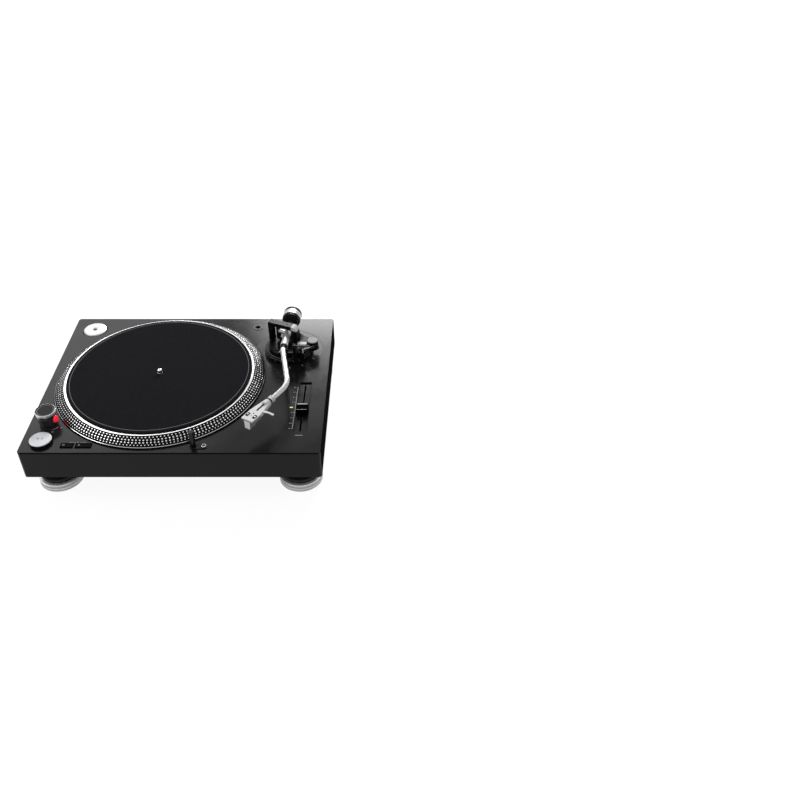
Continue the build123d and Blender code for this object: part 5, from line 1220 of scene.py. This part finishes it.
        # The arch's right shoulder is bare metal painted pale silver, which also stands for the
        # highlight its round catches; its top is painted greyer than its legs, a painted reflection
        arch, _ = spoke(158)
        height = finish.along(deck_point(ARM), UP)
        shoulder = finish.number("MULTIPLY", finish.number(
            "LESS_THAN", finish.along((ARM[0], ARM[1], 0.0), arch), -0.0095),
            finish.number("GREATER_THAN", height, 0.0460))
        top = finish.number("GREATER_THAN", height, 0.0526)
        black = finish.mix(top, black, (0.045, 0.045, 0.047))
        black = finish.mix(shoulder, black, silver)
        finish.mottle(70, 0.1, finish.mix(inside, black, pale)).smudge(45, 0.2, 0.34)
        return finish.relief(finish.noise(2400, 2.0), 0.06, 0.00005).material


class TURNTABLE_OT_stage(bpy.types.Operator):
    """Sets the pale floor, the soft lights, the white surround and the camera"""

    bl_idname = "turntable.stage"
    bl_label = "Stage"

    def execute(self, context):
        stage = context.scene.turntable_stage
        half = stage.floor_size / 2
        floor = mesh_piece("floor", [(-half, -half, -0.0002), (half, -half, -0.0002),
                                     (half, half, -0.0002), (-half, half, -0.0002)],
                           [(0, 1, 2, 3)], smooth=False)
        paper = bpy.data.materials.new("pale paper")
        paper.use_nodes = True
        nodes, links = paper.node_tree.nodes, paper.node_tree.links
        matt = nodes["Principled BSDF"]
        matt.inputs["Base Color"].default_value = (*stage.floor, 1)
        matt.inputs["Roughness"].default_value = 0.9
        matt.inputs["Specular IOR Level"].default_value = 0.1
        seen = self.seen(nodes, links)
        glow = nodes.new("ShaderNodeEmission")
        glow.inputs["Strength"].default_value = PAPER_GLOW
        share = nodes.new("ShaderNodeMath")
        share.operation = "MULTIPLY"
        share.inputs[1].default_value = PAPER_SHARE
        links.new(seen, share.inputs[0])
        mix = nodes.new("ShaderNodeMixShader")
        links.new(share.outputs[0], mix.inputs[0])
        links.new(matt.outputs[0], mix.inputs[1])
        links.new(glow.outputs[0], mix.inputs[2])
        links.new(mix.outputs[0], nodes["Material Output"].inputs["Surface"])
        dress(floor, paper)

        world = bpy.data.worlds.new("white surround")
        context.scene.world = world
        world.use_nodes = True
        nodes, links = world.node_tree.nodes, world.node_tree.links
        light = nodes["Background"]
        light.inputs["Color"].default_value = (1.0, 1.0, 1.0, 1)
        light.inputs["Strength"].default_value = stage.world_strength
        white = nodes.new("ShaderNodeBackground")
        white.inputs["Strength"].default_value = 1.0
        mix = nodes.new("ShaderNodeMixShader")
        links.new(self.seen(nodes, links), mix.inputs[0])
        links.new(light.outputs[0], mix.inputs[1])
        links.new(white.outputs[0], mix.inputs[2])
        links.new(mix.outputs[0], nodes["World Output"].inputs["Surface"])

        self.lamp("back softbox", (0.37, 2.14, 1.05), (0.20, 0.17, 0.09), (1.18, 0.78),
                  stage.key_power)
        self.lamp("rear left softbox", (-1.02, 1.95, 1.58), (-0.15, 0.0, 0.09), (1.0, 0.8),
                  stage.rear_power)
        self.lamp("left softbox", (-1.4, -0.2, 1.3), (-0.05, -0.1, 0.08), (0.8, 1.2),
                  stage.fill_power)

        lens = bpy.data.cameras.new("photo camera")
        lens.sensor_width = CAMERA_SENSOR
        lens.lens = CAMERA_LENS
        camera = bpy.data.objects.new("photo camera", lens)
        camera.location = CAMERA_PLACE
        camera.rotation_euler = (radians(CAMERA_TILT), 0, 0)
        context.collection.objects.link(camera)
        context.scene.camera = camera
        context.scene.view_settings.view_transform = "Standard"
        return {"FINISHED"}

    def seen(self, nodes, links):
        """One where a ray comes from the camera, a mirror or glass, and nought elsewhere."""
        path = nodes.new("ShaderNodeLightPath")
        value = path.outputs["Is Camera Ray"]
        for name in ("Is Glossy Ray", "Is Transmission Ray"):
            either = nodes.new("ShaderNodeMath")
            either.operation = "MAXIMUM"
            links.new(value, either.inputs[0])
            links.new(path.outputs[name], either.inputs[1])
            value = either.outputs[0]
        return value

    def lamp(self, name, place, target, size, power):
        """Large soft area light that faces a target point."""
        data = bpy.data.lights.new(name, "AREA")
        data.shape = "RECTANGLE"
        data.size, data.size_y = size
        data.energy = power
        lamp = bpy.data.objects.new(name, data)
        lamp.location = place
        way = Vector(target) - Vector(place)
        lamp.rotation_euler = way.to_track_quat("-Z", "Y").to_euler()
        bpy.context.collection.objects.link(lamp)


class TURNTABLE_PT_finish(bpy.types.Panel):
    """Sizes, colours and one button for each group of pieces."""

    bl_idname = "TURNTABLE_PT_finish"
    bl_label = "Disc turntable"
    bl_space_type = "VIEW_3D"
    bl_region_type = "UI"
    bl_category = "Turntable"

    def draw(self, context):
        for name, kind in GROUPS.items():
            box = self.layout.box()
            box.label(text=kind.__doc__)
            for field in kind.__annotations__:
                box.prop(getattr(context.scene, name), field)
        for operator in OPERATORS:
            self.layout.operator(operator.bl_idname)


GROUPS = {
    "turntable_deck": DeckFinish,
    "turntable_mat": MatFinish,
    "turntable_dots": DotFinish,
    "turntable_metal": MetalFinish,
    "turntable_stage": StageFinish,
}

OPERATORS = (
    TURNTABLE_OT_case_finish,
    TURNTABLE_OT_platter_finish,
    TURNTABLE_OT_control_finish,
    TURNTABLE_OT_arm_finish,
    TURNTABLE_OT_felt_mat,
    TURNTABLE_OT_rim_dots,
    TURNTABLE_OT_deck_print,
    TURNTABLE_OT_arm_print,
    TURNTABLE_OT_small_trim,
    TURNTABLE_OT_stage,
)


def register():
    """Registers the groups, the operators and the panel."""
    for name, kind in GROUPS.items():
        bpy.utils.register_class(kind)
        setattr(bpy.types.Scene, name, PointerProperty(type=kind))
    for kind in OPERATORS + (TURNTABLE_PT_finish,):
        bpy.utils.register_class(kind)


def unregister():
    """Takes the panel, the operators and the groups away again."""
    for kind in (TURNTABLE_PT_finish,) + OPERATORS[::-1]:
        bpy.utils.unregister_class(kind)
    for name, kind in GROUPS.items():
        delattr(bpy.types.Scene, name)
        bpy.utils.unregister_class(kind)


def main():
    register()
    for operator in OPERATORS:
        group, name = operator.bl_idname.split(".")
        getattr(getattr(bpy.ops, group), name)()


if __name__ == "__main__":
    main()
